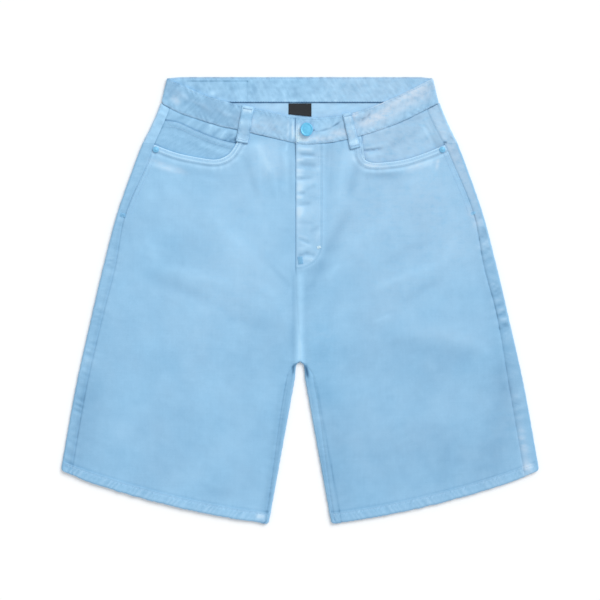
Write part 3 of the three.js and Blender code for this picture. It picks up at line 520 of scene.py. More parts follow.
# Spots rubbed nearly white: below the right pocket, on the left hip and thigh, and at two corners of the hems.
frosts = table("x y turn length width amount", [
    (110, 196, -4, 22, 3, 0.3), (250, 120, -66, 26, 5, 0.2), (-87, 74, 90, 170, 60, 0.07),
    (-43, 205, -70, 40, 24, 0.16), (190, -190, 0, 210, 100, 0.02), (-196, 197, -17, 34, 4.2, 0.24),
    (-186, 190, -14, 32, 3.6, 0.22), (205, 240, -64, 60, 12, 0.1), (28, -85, 88, 95, 30, -0.09),
    (215, -50, -8, 80, 12, 0.06), (199, 198, 80, 10, 2.2, 0.35), (166, 194, 25, 18, 4, 0.22),
    (186, 198, 18, 20, 3, 0.15), (180, 60, 40, 160, 60, 0.08), (130, 150, 30, 140, 60, 0.14),
    (205, 120, -66, 110, 30, 0.05), (-145, -40, 88, 120, 32, 0.03), (300, -180, 78, 90, 22, 0.05),
    (100, 225, 20, 130, 24, 0.06), (66, 210, 10, 60, 20, 0.05), (-57, -312, -4, 9, 4, 0.4),
    (330, -240, 20, 11, 4, 0.35),
])


def tone_at(x, y):
    return patches(dye_and_shade_marks, x, y, "tone") + 0.2 * mottle(x, y, 44, 7) + 0.2 * crumpled(x, y)


def node_group(name, inputs, outputs):
    tree = bpy.data.node_groups.new(name, "ShaderNodeTree")
    for socket, value in inputs:
        tree.interface.new_socket(name=socket, in_out="INPUT", socket_type="NodeSocketFloat").default_value = value
    for socket in outputs:
        tree.interface.new_socket(name=socket, in_out="OUTPUT", socket_type="NodeSocketFloat")
    return tree, tree.nodes.new("NodeGroupInput").outputs, tree.nodes.new("NodeGroupOutput").inputs


def calc(tree, operation, *values, clamp=False):
    node = tree.nodes.new("ShaderNodeMath")
    node.operation, node.use_clamp = operation, clamp
    for socket, value in zip(node.inputs, values):
        if isinstance(value, bpy.types.NodeSocket):
            tree.links.new(value, socket)
        else:
            socket.default_value = value
    return node.outputs[0]


def uneven(tree, vector, scale, detail, roughness=0.5):
    node = tree.nodes.new("ShaderNodeTexNoise")
    tree.links.new(vector, node.inputs["Vector"])
    if isinstance(scale, bpy.types.NodeSocket):
        tree.links.new(scale, node.inputs["Scale"])
    else:
        node.inputs["Scale"].default_value = scale
    node.inputs["Detail"].default_value = detail
    node.inputs["Roughness"].default_value = roughness
    return node.outputs["Fac"]


def stretched(tree, vector, x, y):
    node = tree.nodes.new("ShaderNodeMapping")
    tree.links.new(vector, node.inputs["Vector"])
    node.inputs["Scale"].default_value = (x, y, 1)
    return node.outputs["Vector"]


# Twill: slanted ribs of warp yarn, with the pale weft showing between them.
twill, given, made = node_group("twill weave", [("Yarn mm", 0.55), ("Slub", 0.5)], ["Height", "Weft"])
cloth_place = twill.nodes.new("ShaderNodeUVMap")
cloth_place.uv_map = "cloth"
parts = twill.nodes.new("ShaderNodeSeparateXYZ")
twill.links.new(cloth_place.outputs["UV"], parts.inputs[0])
per_yarn = calc(twill, "DIVIDE", 1000.0, given["Yarn mm"])
warp = calc(twill, "MULTIPLY", parts.outputs[0], per_yarn)
weft = calc(twill, "MULTIPLY", parts.outputs[1], per_yarn)
slub = uneven(twill, stretched(twill, cloth_place.outputs["UV"], 1, 0.08), 900, 2)
lean = calc(twill, "ADD", calc(twill, "ADD", warp, weft), calc(twill, "MULTIPLY", slub, given["Slub"]))
rib = calc(twill, "SINE", calc(twill, "MULTIPLY", lean, math.pi * 2 / 3))
yarn = calc(twill, "ABSOLUTE", calc(twill, "SINE", calc(twill, "MULTIPLY", warp, math.pi)))
body = calc(twill, "MULTIPLY_ADD", rib, 0.3, 0.4)
twill.links.new(calc(twill, "MULTIPLY_ADD", yarn, 0.3, body, clamp=True), made["Height"])
twill.links.new(calc(twill, "MULTIPLY_ADD", rib, -0.5, 0.5, clamp=True), made["Weft"])

# Wash: broad cloudy patches, and fainter streaks along the warp where the yarn took the dye unevenly.
wash, given, made = node_group(
    "uneven wash", [("Cloud scale", 14.0), ("Clouds", 0.4), ("Streaks", 0.3), ("Grain", 0.3)], ["Shade"]
)
where = wash.nodes.new("ShaderNodeTexCoord").outputs["Object"]
clouds = uneven(wash, where, given["Cloud scale"], 4, 0.55)
warp_streaks = uneven(wash, stretched(wash, where, 1, 0.06), 420, 3, 0.6)
weft_streaks = uneven(wash, stretched(wash, where, 0.05, 1), 380, 3, 0.6)
grain = uneven(wash, where, 700, 3, 0.65)
streaks = calc(wash, "SUBTRACT", calc(wash, "ADD", warp_streaks, weft_streaks), 1.0)
shade = calc(wash, "MULTIPLY_ADD", streaks, given["Streaks"], calc(wash, "MULTIPLY", clouds, given["Clouds"]))
shade = calc(wash, "MULTIPLY_ADD", calc(wash, "SUBTRACT", grain, 0.5), given["Grain"], shade)
wash.links.new(calc(wash, "MULTIPLY_ADD", given["Clouds"], -0.5, shade), made["Shade"])

# Rubbed seams: the white core of the yarn shows on whatever stands up, broken by the weave.
rubbed, given, made = node_group("rubbed ridges", [("Amount", 1.0), ("Haze", 0.1)], ["Mask"])
worn = rubbed.nodes.new("ShaderNodeAttribute")
worn.attribute_name = "wear"
where = rubbed.nodes.new("ShaderNodeTexCoord").outputs["Object"]
wisps = uneven(rubbed, stretched(rubbed, where, 1, 1.6), 95, 5, 0.7)
broken = calc(rubbed, "MULTIPLY_ADD", wisps, 3.4, -0.8, clamp=True)
mask = calc(rubbed, "MULTIPLY", calc(rubbed, "MULTIPLY", worn.outputs["Fac"], broken), given["Amount"])
haze = calc(rubbed, "MULTIPLY_ADD", uneven(rubbed, where, 13, 4, 0.6), 1.8, -0.3)
rubbed.links.new(calc(rubbed, "MULTIPLY_ADD", haze, given["Haze"], mask, clamp=True), made["Mask"])


def place_group(tree, source, **values):
    node = tree.nodes.new("ShaderNodeGroup")
    node.node_tree = source
    for name, value in values.items():
        node.inputs[name.replace("_", " ")].default_value = value
    return node.outputs


def blend_colours(tree, share, a, b):
    node = tree.nodes.new("ShaderNodeMix")
    node.data_type = "RGBA"
    for socket, value in ((node.inputs[0], share), (node.inputs[6], a), (node.inputs[7], b)):
        if isinstance(value, bpy.types.NodeSocket):
            tree.links.new(value, socket)
        else:
            socket.default_value = value
    return node.outputs[2]


def srgb(*levels):
    return tuple(c / 12.92 if c <= 0.04045 else ((c + 0.055) / 1.055) ** 2.4 for c in (v / 255 for v in levels)) + (1,)


# The last of these four colours is a painted shadow: the shade in slits and seams and under raised edges.
DEEP, PALE, FROST, PAINTED_SHADOW = srgb(111, 162, 199), srgb(166, 215, 248), srgb(207, 220, 234), srgb(58, 98, 136)
# The near-white blue is partly cloth bleached by wear and partly painted highlight on rims, ridges and loops, with
# painted light beside the button.
BLEACH_AND_HIGHLIGHT = srgb(198, 234, 253)


def denim(name, middle=0.5, clouds=0.26, haze=0.1):
    """Washed blue twill: dyed warp over pale weft, cloudy from the wash and rubbed pale along its seams. Its tone
    attribute carries painted shade and highlight as well as paler and deeper dye.
    """
    material = bpy.data.materials.new(name)
    material.use_nodes = True
    tree = material.node_tree
    shader = tree.nodes["Principled BSDF"]
    weave = place_group(tree, twill, Yarn_mm=0.42, Slub=0.8)
    cloudy = place_group(tree, wash, Cloud_scale=22.0, Clouds=clouds, Streaks=0.12, Grain=0.34)
    rubbing = place_group(tree, rubbed, Amount=1.0, Haze=haze)
    tone = tree.nodes.new("ShaderNodeAttribute")
    tone.attribute_name = "tone"
    level = calc(tree, "MULTIPLY_ADD", tone.outputs["Fac"], 0.3, middle)
    level = calc(tree, "ADD", cloudy["Shade"], level)
    level = calc(tree, "MULTIPLY_ADD", calc(tree, "SUBTRACT", weave["Weft"], 0.5), 0.2, level, clamp=True)
    # The palest tone marks turn to near-white: bleaching by wear, with painted highlight.
    bleach_and_highlight = calc(tree, "MULTIPLY_ADD", tone.outputs["Fac"], 0.5, -0.55, clamp=True)
    dyed = blend_colours(tree, bleach_and_highlight, blend_colours(tree, level, DEEP, PALE), BLEACH_AND_HIGHLIGHT)
    # The darkest tone marks blend into the painted shadow colour.
    painted_shadow_share = calc(tree, "MULTIPLY_ADD", tone.outputs["Fac"], -0.5, -0.6, clamp=True)
    worn = blend_colours(tree, rubbing["Mask"], dyed, FROST)
    tree.links.new(blend_colours(tree, painted_shadow_share, worn, PAINTED_SHADOW), shader.inputs["Base Color"])
    rough = calc(tree, "MULTIPLY_ADD", cloudy["Shade"], 0.14, 0.88, clamp=True)
    tree.links.new(rough, shader.inputs["Roughness"])
    bump = tree.nodes.new("ShaderNodeBump")
    bump.inputs["Strength"].default_value = 0.3
    bump.inputs["Distance"].default_value = 0.0003
    tree.links.new(weave["Height"], bump.inputs["Height"])
    tree.links.new(bump.outputs["Normal"], shader.inputs["Normal"])
    shader.inputs["Specular IOR Level"].default_value = 0.2
    shader.inputs["Sheen Weight"].default_value = 0.12
    return material


def dress(piece, material, slot, *nodes):
    piece.data.materials.append(material)
    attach(piece, "root")
    if nodes:
        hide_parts(*nodes)
    return piece


panel_denim = denim("panel denim", middle=0.48, haze=0.11)
side_names = {LEFT: "left", RIGHT: "right"}
SEAT_STEPS = np.concatenate([np.linspace(0, 0.93, 80), np.linspace(0.93, 1, 17)[1:]])
BACK_SEAT_COLUMNS = 10 + 9 + len(UNDER_STEPS)

for side, word in side_names.items():
    sections = []
    for up in LEG_STEPS:
        row = leg_row(up)
        raised = HEM_RAISE if up < HEM_TURN else 0
        seam = float(inseam(row[0]))
        for _ in range(5):
            seam = float(inseam(row_height(row, seam, True)))
        inner = {"edge": float(inseam_edge(row[0])), "height": float(edge_height(row[0])) + raised, "seam": seam}
        sections.append(section_of_back(side, float(row[1]), lambda h, _: row_height(row, h, True), raised, inner))
    for share in SEAT_STEPS:
        row = (mix(CROTCH + 1, YOKE_MIDDLE - SEAM, share), mix(CROTCH_AT_SIDE + 1, YOKE_SIDE - SEAM, share), 0)
        made = section_of_back(side, float(row[1]), lambda h, _: row_height(row, h, False), 0)
        sections.append(made + [made[-1]] * (len(sections[0]) - len(made)))
    there = np.ones((len(sections) - 1, len(sections[0]) - 1), bool)
    there[len(LEG_STEPS) - 1:, BACK_SEAT_COLUMNS - 1:] = False
    back = back_piece(f"back_{word}_cloth", side, sections, there)
    dress(back, panel_denim, "denim", f"back_{word}")

# Yokes.
# The shaped piece between each back panel and the waistband. It is the same cloth, it comes round the side with
# the back panel, and its inner face shows through the open waist.
yoke_denim = denim("yoke denim", middle=0.72, clouds=0.34, haze=0.14)


def inside_relief(x, y):
    """The inner face of the yokes: loosely uneven, with the lapped middle seam and a fold below the waistband."""
    soft = 0.35 + 0.35 * mottle(x, y, 19, 21) + 0.15 * mottle(x, y, 7, 22)
    return np.maximum(0, soft + 0.5 * line_of(x, 3.2) - 0.6 * line_of(WAIST_SEAM - y, 1.6))


for side, word in side_names.items():
    sections = []
    foot = (YOKE_MIDDLE - SEAM, YOKE_SIDE - SEAM, 0)
    for share in np.linspace(0, 1, 40):
        def height_of(h, on_front):
            top = waist_seam(side * min(h, float(side_edge(WAIST_SEAM)))) if on_front else WAIST_SEAM
            return mix(row_height(foot, h, False) + SEAM, top - SEAM, share)

        at_fold = float(height_of(side_edge(YOKE_SIDE), True))
        for _ in range(8):
            at_fold = float(height_of(side_seam(side, at_fold), True))
        sections.append(section_of_back(side, at_fold, height_of, 0))
    yoke = back_piece(f"yoke_{word}_cloth", side, sections, raise_inside=inside_relief)
    dress(yoke, yoke_denim, "denim", f"yoke_{word}")

# Front panels.
# Each runs from the hem to the waistband, cut away along the curved mouth of its pocket, where the edge is turned
# under and stitched twice. The left one carries the stitched fly.
mouth_rows = {
    LEFT: table("h y", [
        (216, 228.5), (183, 214.8), (152, 204.8), (123, 200.6), (105, 200.2), (94.5, 204), (89.5, 213), (88.5, 226), (88.5, 250),
    ]),
    RIGHT: table("h y", [
        (216, 228.3), (180, 214.8), (148, 207.8), (122, 204.8), (105, 210.8), (95, 222.6), (88.5, 237), (85.5, 256),
    ]),
}


def mouth_line(side):
    """The mouth of a pocket from the side seam to the waistband, as close points on a smooth line."""
    rows = mouth_rows[side]
    steps = np.hypot(np.diff(rows["h"]), np.diff(rows["y"])) ** 0.5
    at = np.concatenate([[0], np.cumsum(steps)])
    fine = np.linspace(0, at[-1], 400)
    line = np.stack([curve(at, rows["h"])(fine), curve(at, rows["y"])(fine)], -1)
    first = np.argmax(line[:, 0] < side_seam(side, line[:, 1]) - SEAM)
    last = np.argmax(line[:, 1] > waist_seam(side * line[:, 0]) - SEAM)
    return line[first:last]


def even_line(line, count):
    along = np.concatenate([[0], np.cumsum(np.linalg.norm(np.diff(line, axis=0), axis=1))])
    at = np.linspace(0, along[-1], count)
    return np.stack([np.interp(at, along, line[:, k]) for k in range(line.shape[1])], -1)


def distance_to(line, h, y):
    h, y = np.broadcast_arrays(np.asarray(h, float), np.asarray(y, float))
    best = np.full(h.shape, 1e9)
    for a, b in zip(line[:-1], line[1:]):
        d = b - a
        share = np.clip(((h - a[0]) * d[0] + (y - a[1]) * d[1]) / (d @ d), 0, 1)
        best = np.minimum(best, np.hypot(h - a[0] - share * d[0], y - a[1] - share * d[1]))
    return best


mouths = {side: mouth_line(side) for side in side_names}
coarse_mouths = {side: even_line(line, 60) for side, line in mouths.items()}


FLY_BEND, FLY_DROP, FLY_LINES = 82, 0.94, (32.6, 38.8)


def fly_out(h, y):
    """How far out a place lies from the fly's edge, in the sense of the J that its stitches draw."""
    return np.hypot(h - front_seam(y), np.maximum(0, FLY_BEND - y) / FLY_DROP)


def fly_relief(h, y):
    """Stitch lines of the fly's J, and the short creases across the placket beside its edge, with painted highlight and
    shade on the creases.
    """
    out = fly_out(h, y)
    placket = smooth(38, 33, out) * (y > 40)
    puckers = table("x y turn length width rise", [
        (7.5, 219.5, -3, 16, 3.2, 0.9), (9, 211.5, -4, 17, 2.6, -1.1), (11, 206.8, -3, 12, 2.2, 0.7),
        (0, 203.5, 0, 8, 2.2, 0.8), (10, 197, -7, 18, 3.4, -1.1), (0, 189, 0, 9, 2.6, 0.7), (23, 190, 20, 9, 4, 0.4),
        (-1, 182, 0, 8, 2.6, 0.7), (6, 177.5, 6, 15, 2.4, -0.9), (-1, 176.5, 4, 7, 2.6, -0.5),
        (0, 166, 88, 13, 6, 0.7), (14, 172, 20, 15, 6, 0.45), (2.5, 156, 0, 6, 2.2, -1.1), (14, 163, 24, 12, 3, -0.5),
        (-1, 150, 0, 8, 2.8, 0.8), (5, 140, 7, 14, 2.6, -1.0), (0, 130, 84, 12, 6, 0.7), (10, 128, 10, 17, 8, 0.3),
        (8, 113, 0, 16, 2.4, -0.5), (20, 103, 30, 10, 3, -0.6), (6, 87, -28, 13, 2.2, -0.8), (8, 82, -26, 13, 2.4, 0.7),
        (4, 92, -20, 10, 2.4, 0.5), (4, 76, 10, 10, 3, 0.5), (5, 67.4, 14, 11, 2, -0.9), (14, 68, -14, 12, 2, -0.9),
        (12, 61, -10, 11, 2.6, 0.7), (18, 150, -16, 12, 3.2, -0.3), (26, 95, 70, 12, 3, 0.4),
    ])
    folds = patches(puckers, h, y, "rise")
    stitched = line_of(out - FLY_LINES[0], 0.9) + line_of(out - FLY_LINES[1], 0.9)
    rise = FLY_RAISE * smooth(43.5, 40, out) * 0.9 + folds * placket - 0.3 * stitched
    near = pucker(y, out - 37, 8.5, 6, 3.3) * 0.16 * smooth(50, 60, y)
    at_edge = line_of(h - front_seam(y) - 4, 4.5) * placket * smooth(76, 110, y) * (0.7 + 0.3 * pucker(y, 0, 17, 1, 1.2))
    wear = np.clip(folds, 0, 1) * placket * 0.16 + at_edge * (0.1 + 0.16 * np.clip(folds, 0, 1)) + 0.08 * placket
    tone = folds * placket * 1.3 + 0.7 * at_edge + 0.5 * line_of(out - FLY_LINES[0] - 0.8, 1.6) + near
    tone = tone + 0.5 * line_of(out - FLY_LINES[1] - 0.8, 1.6) - 0.4 * line_of(out - 36.6, 1.2) + 0.25 * placket
    return rise + near, wear, tone


def rim_relief(side, h, y):
    off = distance_to(coarse_mouths[side], h, y)
    along = np.where(np.abs(h) > 100, h, y)
    puffed = RIM_RAISE * smooth(0, 0.9, off) * smooth(9.2, 7.4, off)
    stitched = line_of(off - 2.2, 0.8) + line_of(off - 7, 0.8)
    roped = pucker(along + off, off - 4, 7.4, 4.5, 2.2) * 0.12
    beyond = pucker(along, off - 12, 14, 6, 5.2) * 0.18 * (off > 8)
    plain = 1 - 0.75 * smooth(104, 92, h) * smooth(206, 214, y) * (side == LEFT)
    # Painted highlight along the rim's edge and on its puckers, painted shade between its stitch lines and just below
    # it, and a paler band below that.
    tone = 2.0 * line_of(off - 1.2, 1.7) + 1.6 * line_of(off - 5.8, 1.6) - 0.6 * line_of(off - 3.6, 0.9)
    tone = tone - 1.0 * line_of(off - 9.4, 1.2) + (1.1 if side == LEFT else 0.8) * line_of(off - 12.6, 2.6)
    tone = tone * plain + 1.3 * (roped + beyond)
    wear = 0.09 * line_of(off - 6, 8) * plain
    return puffed - 0.35 * stitched + roped + beyond, wear, tone


def front_surface(side, h, y):
    """Upper face of a front panel, its wear and tone, and the plain height that the underside follows."""
    rise, wear, tone = sewn_relief(side, h, y)
    plain = lying_height(side, h, y)
    rim, rim_wear, rim_tone = rim_relief(side, h, y)
    if side == LEFT:
        fly, fly_wear, fly_tone = fly_relief(h, y)
        rise, wear, tone = rise + fly, wear + fly_wear, tone + fly_tone
    wear = wear + rim_wear + patches(frosts, side * h, y, "amount")
    return plain + rise + rim, wear, tone + rim_tone + tone_at(side * h, y), plain + rise * (rise < 0)


FRONT_COLUMNS = 150
EDGE_SHARES = np.array([0, 0.0018, 0.0045, 0.008, 0.013])


def front_shares(count):
    """Shares of the way across, closer together at both edges."""
    inner = np.linspace(EDGE_SHARES[-1], 1 - EDGE_SHARES[-1], count - 2 * (len(EDGE_SHARES) - 1))
    return np.concatenate([EDGE_SHARES[:-1], inner, 1 - EDGE_SHARES[:-1][::-1]])


across = front_shares(FRONT_COLUMNS)
BODY_STEPS = np.concatenate([np.linspace(0, 0.925, 122), np.linspace(0.925, 1, 24)[1:]])

for side, word in side_names.items():
    h_rows, y_rows = [], []
    for up in LEG_STEPS:
        row = leg_row(up)
        start = float(inseam(row[0]))
        for _ in range(5):
            start = float(inseam(row_height(row, start, True)))
        h = mix(start + SEAM / 2, float(side_seam(side, row[1])) - SEAM / 2, across)
        h_rows.append(h)
        y_rows.append(row_height(row, h, True))
    # the upper edge: along the waistband to the pocket, then down and along the pocket's mouth
    corner = mouths[side][-1]
    waist_h = np.linspace(side * front_seam(200) + SEAM / 2, corner[0] - 0.4, 60)
    edge = np.stack([waist_h, waist_seam(side * waist_h) - SEAM], -1)
    edge = even_line(np.concatenate([edge, mouths[side][::-1]]), 2000)
    top = np.stack([np.interp(across, np.linspace(0, 1, len(edge)), edge[:, k]) for k in range(2)], -1)
    foot = (CROTCH + 1, CROTCH_AT_SIDE + 1, 0)
    for share in BODY_STEPS:
        outer_y = mix(foot[1], top[-1, 1], share)
        inner_y = mix(foot[0], top[0, 1], share)
        start = side * float(front_seam(inner_y)) + SEAM / 2
        end = float(side_seam(side, outer_y)) - SEAM / 2
        top_share = (top[:, 0] - top[0, 0]) / (top[-1, 0] - top[0, 0])
        h = mix(start, end, mix(across, top_share, smooth(0, 1, share)))
        foot_h = mix(side * float(front_seam(foot[0])) + SEAM / 2, float(side_seam(side, foot[1])), across)
        h_rows.append(h)
        y_rows.append(mix(row_height(foot, foot_h, False), top[:, 1], share))
    h, y = np.array(h_rows), np.array(y_rows)
    z, wear, tone, plain = front_surface(side, h, y)
    h_shown, y_shown = hem_shape(side, h, y)
    outer = np.stack([side * h_shown, y_shown, z], -1)
    within = np.stack([side * h_shown, y_shown, plain - DENIM - 0.6 * (y < hem_line(h) + 15)], -1)
    marks = {"wear": wear, "tone": tone}
    front = shell(f"front_{word}_cloth", outer, within, marks, side == RIGHT)
    dress(front, panel_denim, "denim", f"front_{word}")

# Pocket facings and coin pocket.
# The cloth that shows in the pocket's mouth goes in under the front. On the right a small coin pocket lies on
# it, open along its straight stitched edge.
FACING_DEEP = 2.5
FACING_TONE = {LEFT: 0.15, RIGHT: 0.5}
coin_edge = curve(*table("h y", [
    (78, 228), (96, 228.6), (121, 235), (149, 245.8), (176, 258), (195, 261),
]).values())


def facing_height(side, h, y):
    return mix(band_height(side, h) - FLY_RAISE, FACING_DEEP, smooth(4, 34, waist_seam(side * h) - y))


def in_mouth(side, inner_end, top_line, depth, lift, count, relief):
    """A piece that fills the pocket's mouth up to a line and goes in under the front round it."""
    line = mouths[side][::-1]
    upright = line[:np.argmin(line[:, 1])][::-1]
    shares = np.linspace(0, 1, count[0])
    rows = []
    for up in np.linspace(0, 1, count[1]):
        h = mix(inner_end, 205, shares)
        for _ in range(8):
            lower = np.interp(h, line[:, 0], line[:, 1]) - depth
            y = mix(lower, top_line(h), up)
            h = mix(inner_end, side_seam(side, y) - SEAM, shares)
        rows.append(np.stack([h, y], -1))
    rows = np.array(rows)
    h, y = rows[..., 0], rows[..., 1]
    rise, wear, tone = relief(h, y)
    z = facing_height(side, h, y) + lift + rise
    lower = line[np.argmin(line[:, 1]):]
    inside = np.minimum(h - np.interp(y, upright[:, 1], upright[:, 0]), y - np.interp(h, lower[:, 0], lower[:, 1]))
    covered = smooth(3.2, 0.4, inside)
    under_coin = DENIM + 0.3 if side == RIGHT and not lift else 0
    below = DENIM + 0.25 + under_coin
    level = lying_height(side, h, y) - 0.35 - np.where(y < coin_edge(h) + 2, under_coin, 0)
    z = mix(z, np.maximum(z, level), smooth(16, 2, side_seam(side, y) - h))
    z = mix(z, np.minimum(z, lying_height(side, h, y) - below), covered)
    outer = np.stack([side * h, y, z], -1)
    within = np.stack([side * h, y, np.minimum(z, z - rise) - DENIM + 0.1], -1)
    return outer, within, {"wear": wear, "tone": tone}


def facing_relief(side):
    creased = {
        LEFT: table("x y turn length width rise", [
            (104, 218.6, 7, 19, 2, -1.3), (112, 224, 14, 26, 4, 0.4), (150, 232, 20, 34, 6, -0.4),
            (108, 211.5, 8, 18, 4, 0.5), (190, 246, -62, 26, 2, 0.3), (184, 240, -62, 22, 2, 0.2), (165, 262, 24, 20, 3, -0.3),
            (176, 240, 24, 26, 6, 0.4), (128, 244, 22, 30, 4, -0.3), (140, 250, 18, 26, 5, 0.3),
        ]),
        RIGHT: table("x y turn length width rise", [
            (112, 240, -52, 12, 2.4, 0.7), (104, 236, -40, 12, 2.6, -0.8), (130, 250, -62, 13, 3, 0.4),
            (122, 243, -44, 12, 2.6, -0.8), (142, 250, -40, 13, 3.4, -0.5), (160, 258, -40, 12, 3, 0.35),
            (176, 264, -20, 14, 3, -0.35), (97, 233, -10, 9, 3, -1.2),
        ]),
    }[side]

    def relief(h, y):
        off = waist_seam(side * h) - y
        edge = side_seam(side, y) - h
        rise = 1.4 * patches(creased, h, y, "rise") + 0.2 * mottle(h, y, 13, 31) - 0.7 * line_of(off, 1.3)
        # Painted highlight and shade follow the creases; painted shadow lies under the waistband and along the side
        # seam.
        tone = 1.1 * rise + 0.35 * mottle(h, y, 9, 35) + 0.35 * mottle(h + y, y, 5, 37)
        tone = tone - 1.2 * line_of(off, 1.0) - 1.3 * line_of(edge, 1.6)
        if side == RIGHT:
            above = y - coin_edge(h)
            # Painted shadow above the coin pocket's open edge.
            tone = tone - mix(0.5, 0.15, smooth(105, 130, h)) * line_of(above - 3, 3)
            tone = tone - mix(1.8, 1.1, smooth(95, 150, h)) * line_of(above - 0.4, 1.2)
            rise = rise - 0.5 * line_of(above, 1.6)
        # Painted shadow under the rim of the pocket's mouth.
        near_mouth = distance_to(coarse_mouths[side], h, y)
        tone = tone - 0.6 * line_of(near_mouth, 2) + FACING_TONE[side]
        rise = rise + 0.2 * pucker(h, off, 11, 8, 6.1) - 0.6 * line_of(edge, 1.5)
        return rise, np.full(rise.shape, 0.24 if side == LEFT else 0.0), np.maximum(tone, -2)

    return relief


facing_denim = denim("facing denim", middle=0.47)
for side, word in side_names.items():
    outer, within, marks = in_mouth(
        side, 80, lambda h: waist_seam(side * h) - SEAM, 12, 0, (96, 60), facing_relief(side)
    )
    facing = shell(f"pocket_facing_{word}_cloth", outer, within, marks, side == RIGHT)
    dress(facing, facing_denim, "denim", f"pocket_facing_{word}")


def coin_relief(h, y):
    off = coin_edge(h) - y
    side_off = side_seam(RIGHT, y) - h
    roped = pucker(h + off, off - 4, 9, 5, 7.7)
    rise = 0.5 * smooth(0, 0.9, off) * smooth(9.5, 8, off) - 0.3 * line_of(off - 1.8, 0.8) - 0.3 * line_of(off - 7.6, 0.8)
    rise = rise + 0.1 * roped + 0.15 * mottle(h, y, 13, 33) - 0.6 * line_of(side_off, 1.5)
    tone = 0.6 * line_of(off - 2.4, 2) - 0.35 * line_of(off - 9.4, 1.2) + 0.35 * mottle(0.5 * h - y, y, 7, 36) + 0.15 * roped
    tone = tone + 0.35 * mottle(h, 2 * y + h, 5, 38) + patches(table("x y turn length width rise", [
        (128, 222, 22, 34, 3, 0.5), (110, 216, 12, 22, 3, 0.4), (150, 226, 24, 30, 4, -0.35), (172, 240, 26, 18, 3, 0.4),
    ]), h, y, "rise")
    near_mouth = distance_to(coarse_mouths[RIGHT], h, y)
    # Painted shadow along the pocket's mouth, the side seam and the pocket's top edge.
    return rise, 0 * rise, tone - 0.7 * line_of(near_mouth, 2.2) - 1.3 * line_of(side_off, 1.6) - 0.9 * line_of(off, 0.7)


outer, within, marks = in_mouth(RIGHT, 80, coin_edge, 7, DENIM + 0.3, (96, 60), coin_relief)
coin_pocket = shell("coin_pocket_cloth", outer, within, marks, True)
dress(coin_pocket, facing_denim, "denim", "coin_pocket")

# Waistband.
# One strip folded lengthwise, stitched along both edges, from the buttoned end on the front, round the left
# side, across the back, where its inside shows, and round the right side to the end beneath the button.
BAND = 2.2
radius = BAND_SIDE / 2
fold = float(side_edge(WAIST_SEAM))
top_share = 192.5 / 201
stations = []


def band_on_front(x, side):
    z = float(band_height(side, side * x))
    droop = 1.5 * float(smooth(34, 4, x)) if side == LEFT else 0
    stations.append((x, float(waist_seam(x)) - droop, float(band_top_x(x)), float(band_top(x)), z, 0, -1, 0))


def band_round(side, turns):
    for turn in turns:
        angle = math.pi / 2 * turn
        x = side * (fold - radius + radius * math.cos(angle))
        low = float(waist_seam(x)) if turn > 0 else WAIST_SEAM
        high = float(band_top(x)) if turn > 0 else WAIST_TOP
        shift = side * fold * (top_share - 1)
        z = radius + radius * math.sin(angle)
        stations.append((x, low, x + shift, high, z, -side * math.cos(angle), -math.sin(angle), 0))


for x in np.concatenate([[-6, -5.6, -4.8, -3.6], np.linspace(-2, fold - radius, 130)]):
    band_on_front(float(x), LEFT)
band_round(LEFT, np.linspace(0.8, -0.8, 9))
for x in np.linspace(fold - radius, radius - fold, 220):
    bowed = 1.9 * (1 - float(smooth(178, 204, abs(x))))
    stations.append((x, WAIST_SEAM, x * top_share, WAIST_TOP + bowed, 0, 0, 1, 1))
band_round(RIGHT, np.linspace(-0.8, 0.8, 9))
for x in np.linspace(radius - fold, 26, 146):
    band_on_front(float(x), RIGHT)
stations = np.array(stations, float)
BAND_SHARES = np.concatenate([[0, 0.012, 0.03], np.linspace(0.05, 0.95, 37), [0.97, 0.988, 1]])
low, high = stations[:, None, 0:2], stations[:, None, 2:4]
place = mix(low, high, BAND_SHARES[None, :, None])
inward = np.stack([stations[:, 5], stations[:, 6]], -1)[:, None, :]
on_back = stations[:, 7][:, None]
width = BAND_SHARES[None, :] * 36.5
along = np.cumsum(np.concatenate([[0], np.linalg.norm(np.diff(stations[:, [0, 1, 4]], axis=0), axis=1)]))[:, None]
rounding = 0.75 * (line_of(width, 0.8) + line_of(36.5 - width, 0.8))
stitched = line_of(width - 2, 0.8) + line_of(34.3 - width, 0.8)
at_edges = line_of(width - 2, 6) + line_of(34.3 - width, 6)
on_front = (stations[:, 6] < -0.9)[:, None] * np.ones_like(width)
slanted = pucker(along + 0.8 * width, 0, 10.5, 1, 1.1) * at_edges + 0.6 * pucker(along - 0.5 * width, 0, 6.3, 1, 2.6)
loose = 0.25 * mottle(along + width, width, 13, 41) + 0.14 * mottle(along - 0.6 * width, width, 6, 42)
band_creases = table("x y turn length width rise", [
    (-172, 300, -28, 14, 3, 0.3), (-163, 292, -30, 22, 3.4, 0.45), (-152, 284, -36, 16, 3, -0.5),
    (-138, 282, -20, 24, 4, 0.5), (-124, 276, -34, 18, 3.4, -0.5), (-108, 270, -24, 22, 4, 0.45),
    (-96, 262, -36, 15, 3, -0.45), (-84, 258, -10, 12, 3, 0.45), (-60, 256, -14, 24, 4, 0.35),
    (-44, 250, -26, 16, 3, -0.3), (-17.4, 247, 87, 20, 1.6, 0.5), (-10.4, 248, 87, 16, 1.6, 0.6),
    (36, 247.6, 14, 11, 1.5, -0.5), (53, 256, 33, 11, 1.5, -0.5), (62, 250, 34, 12, 2.6, -0.3),
    (92, 263, 30, 16, 2.6, -0.6), (84, 268, 34, 13, 3, 0.4), (104, 266, 30, 22, 3.4, 0.45),
    (122, 274, 18, 20, 3.4, -0.4), (134, 284, 34, 26, 4, 0.6), (154, 286, 30, 18, 3.4, -0.4),
    (160, 300, 34, 20, 3.4, 0.5), (176, 304, 36, 18, 3, -0.4), (180, 296, 40, 14, 3, 0.4),
])
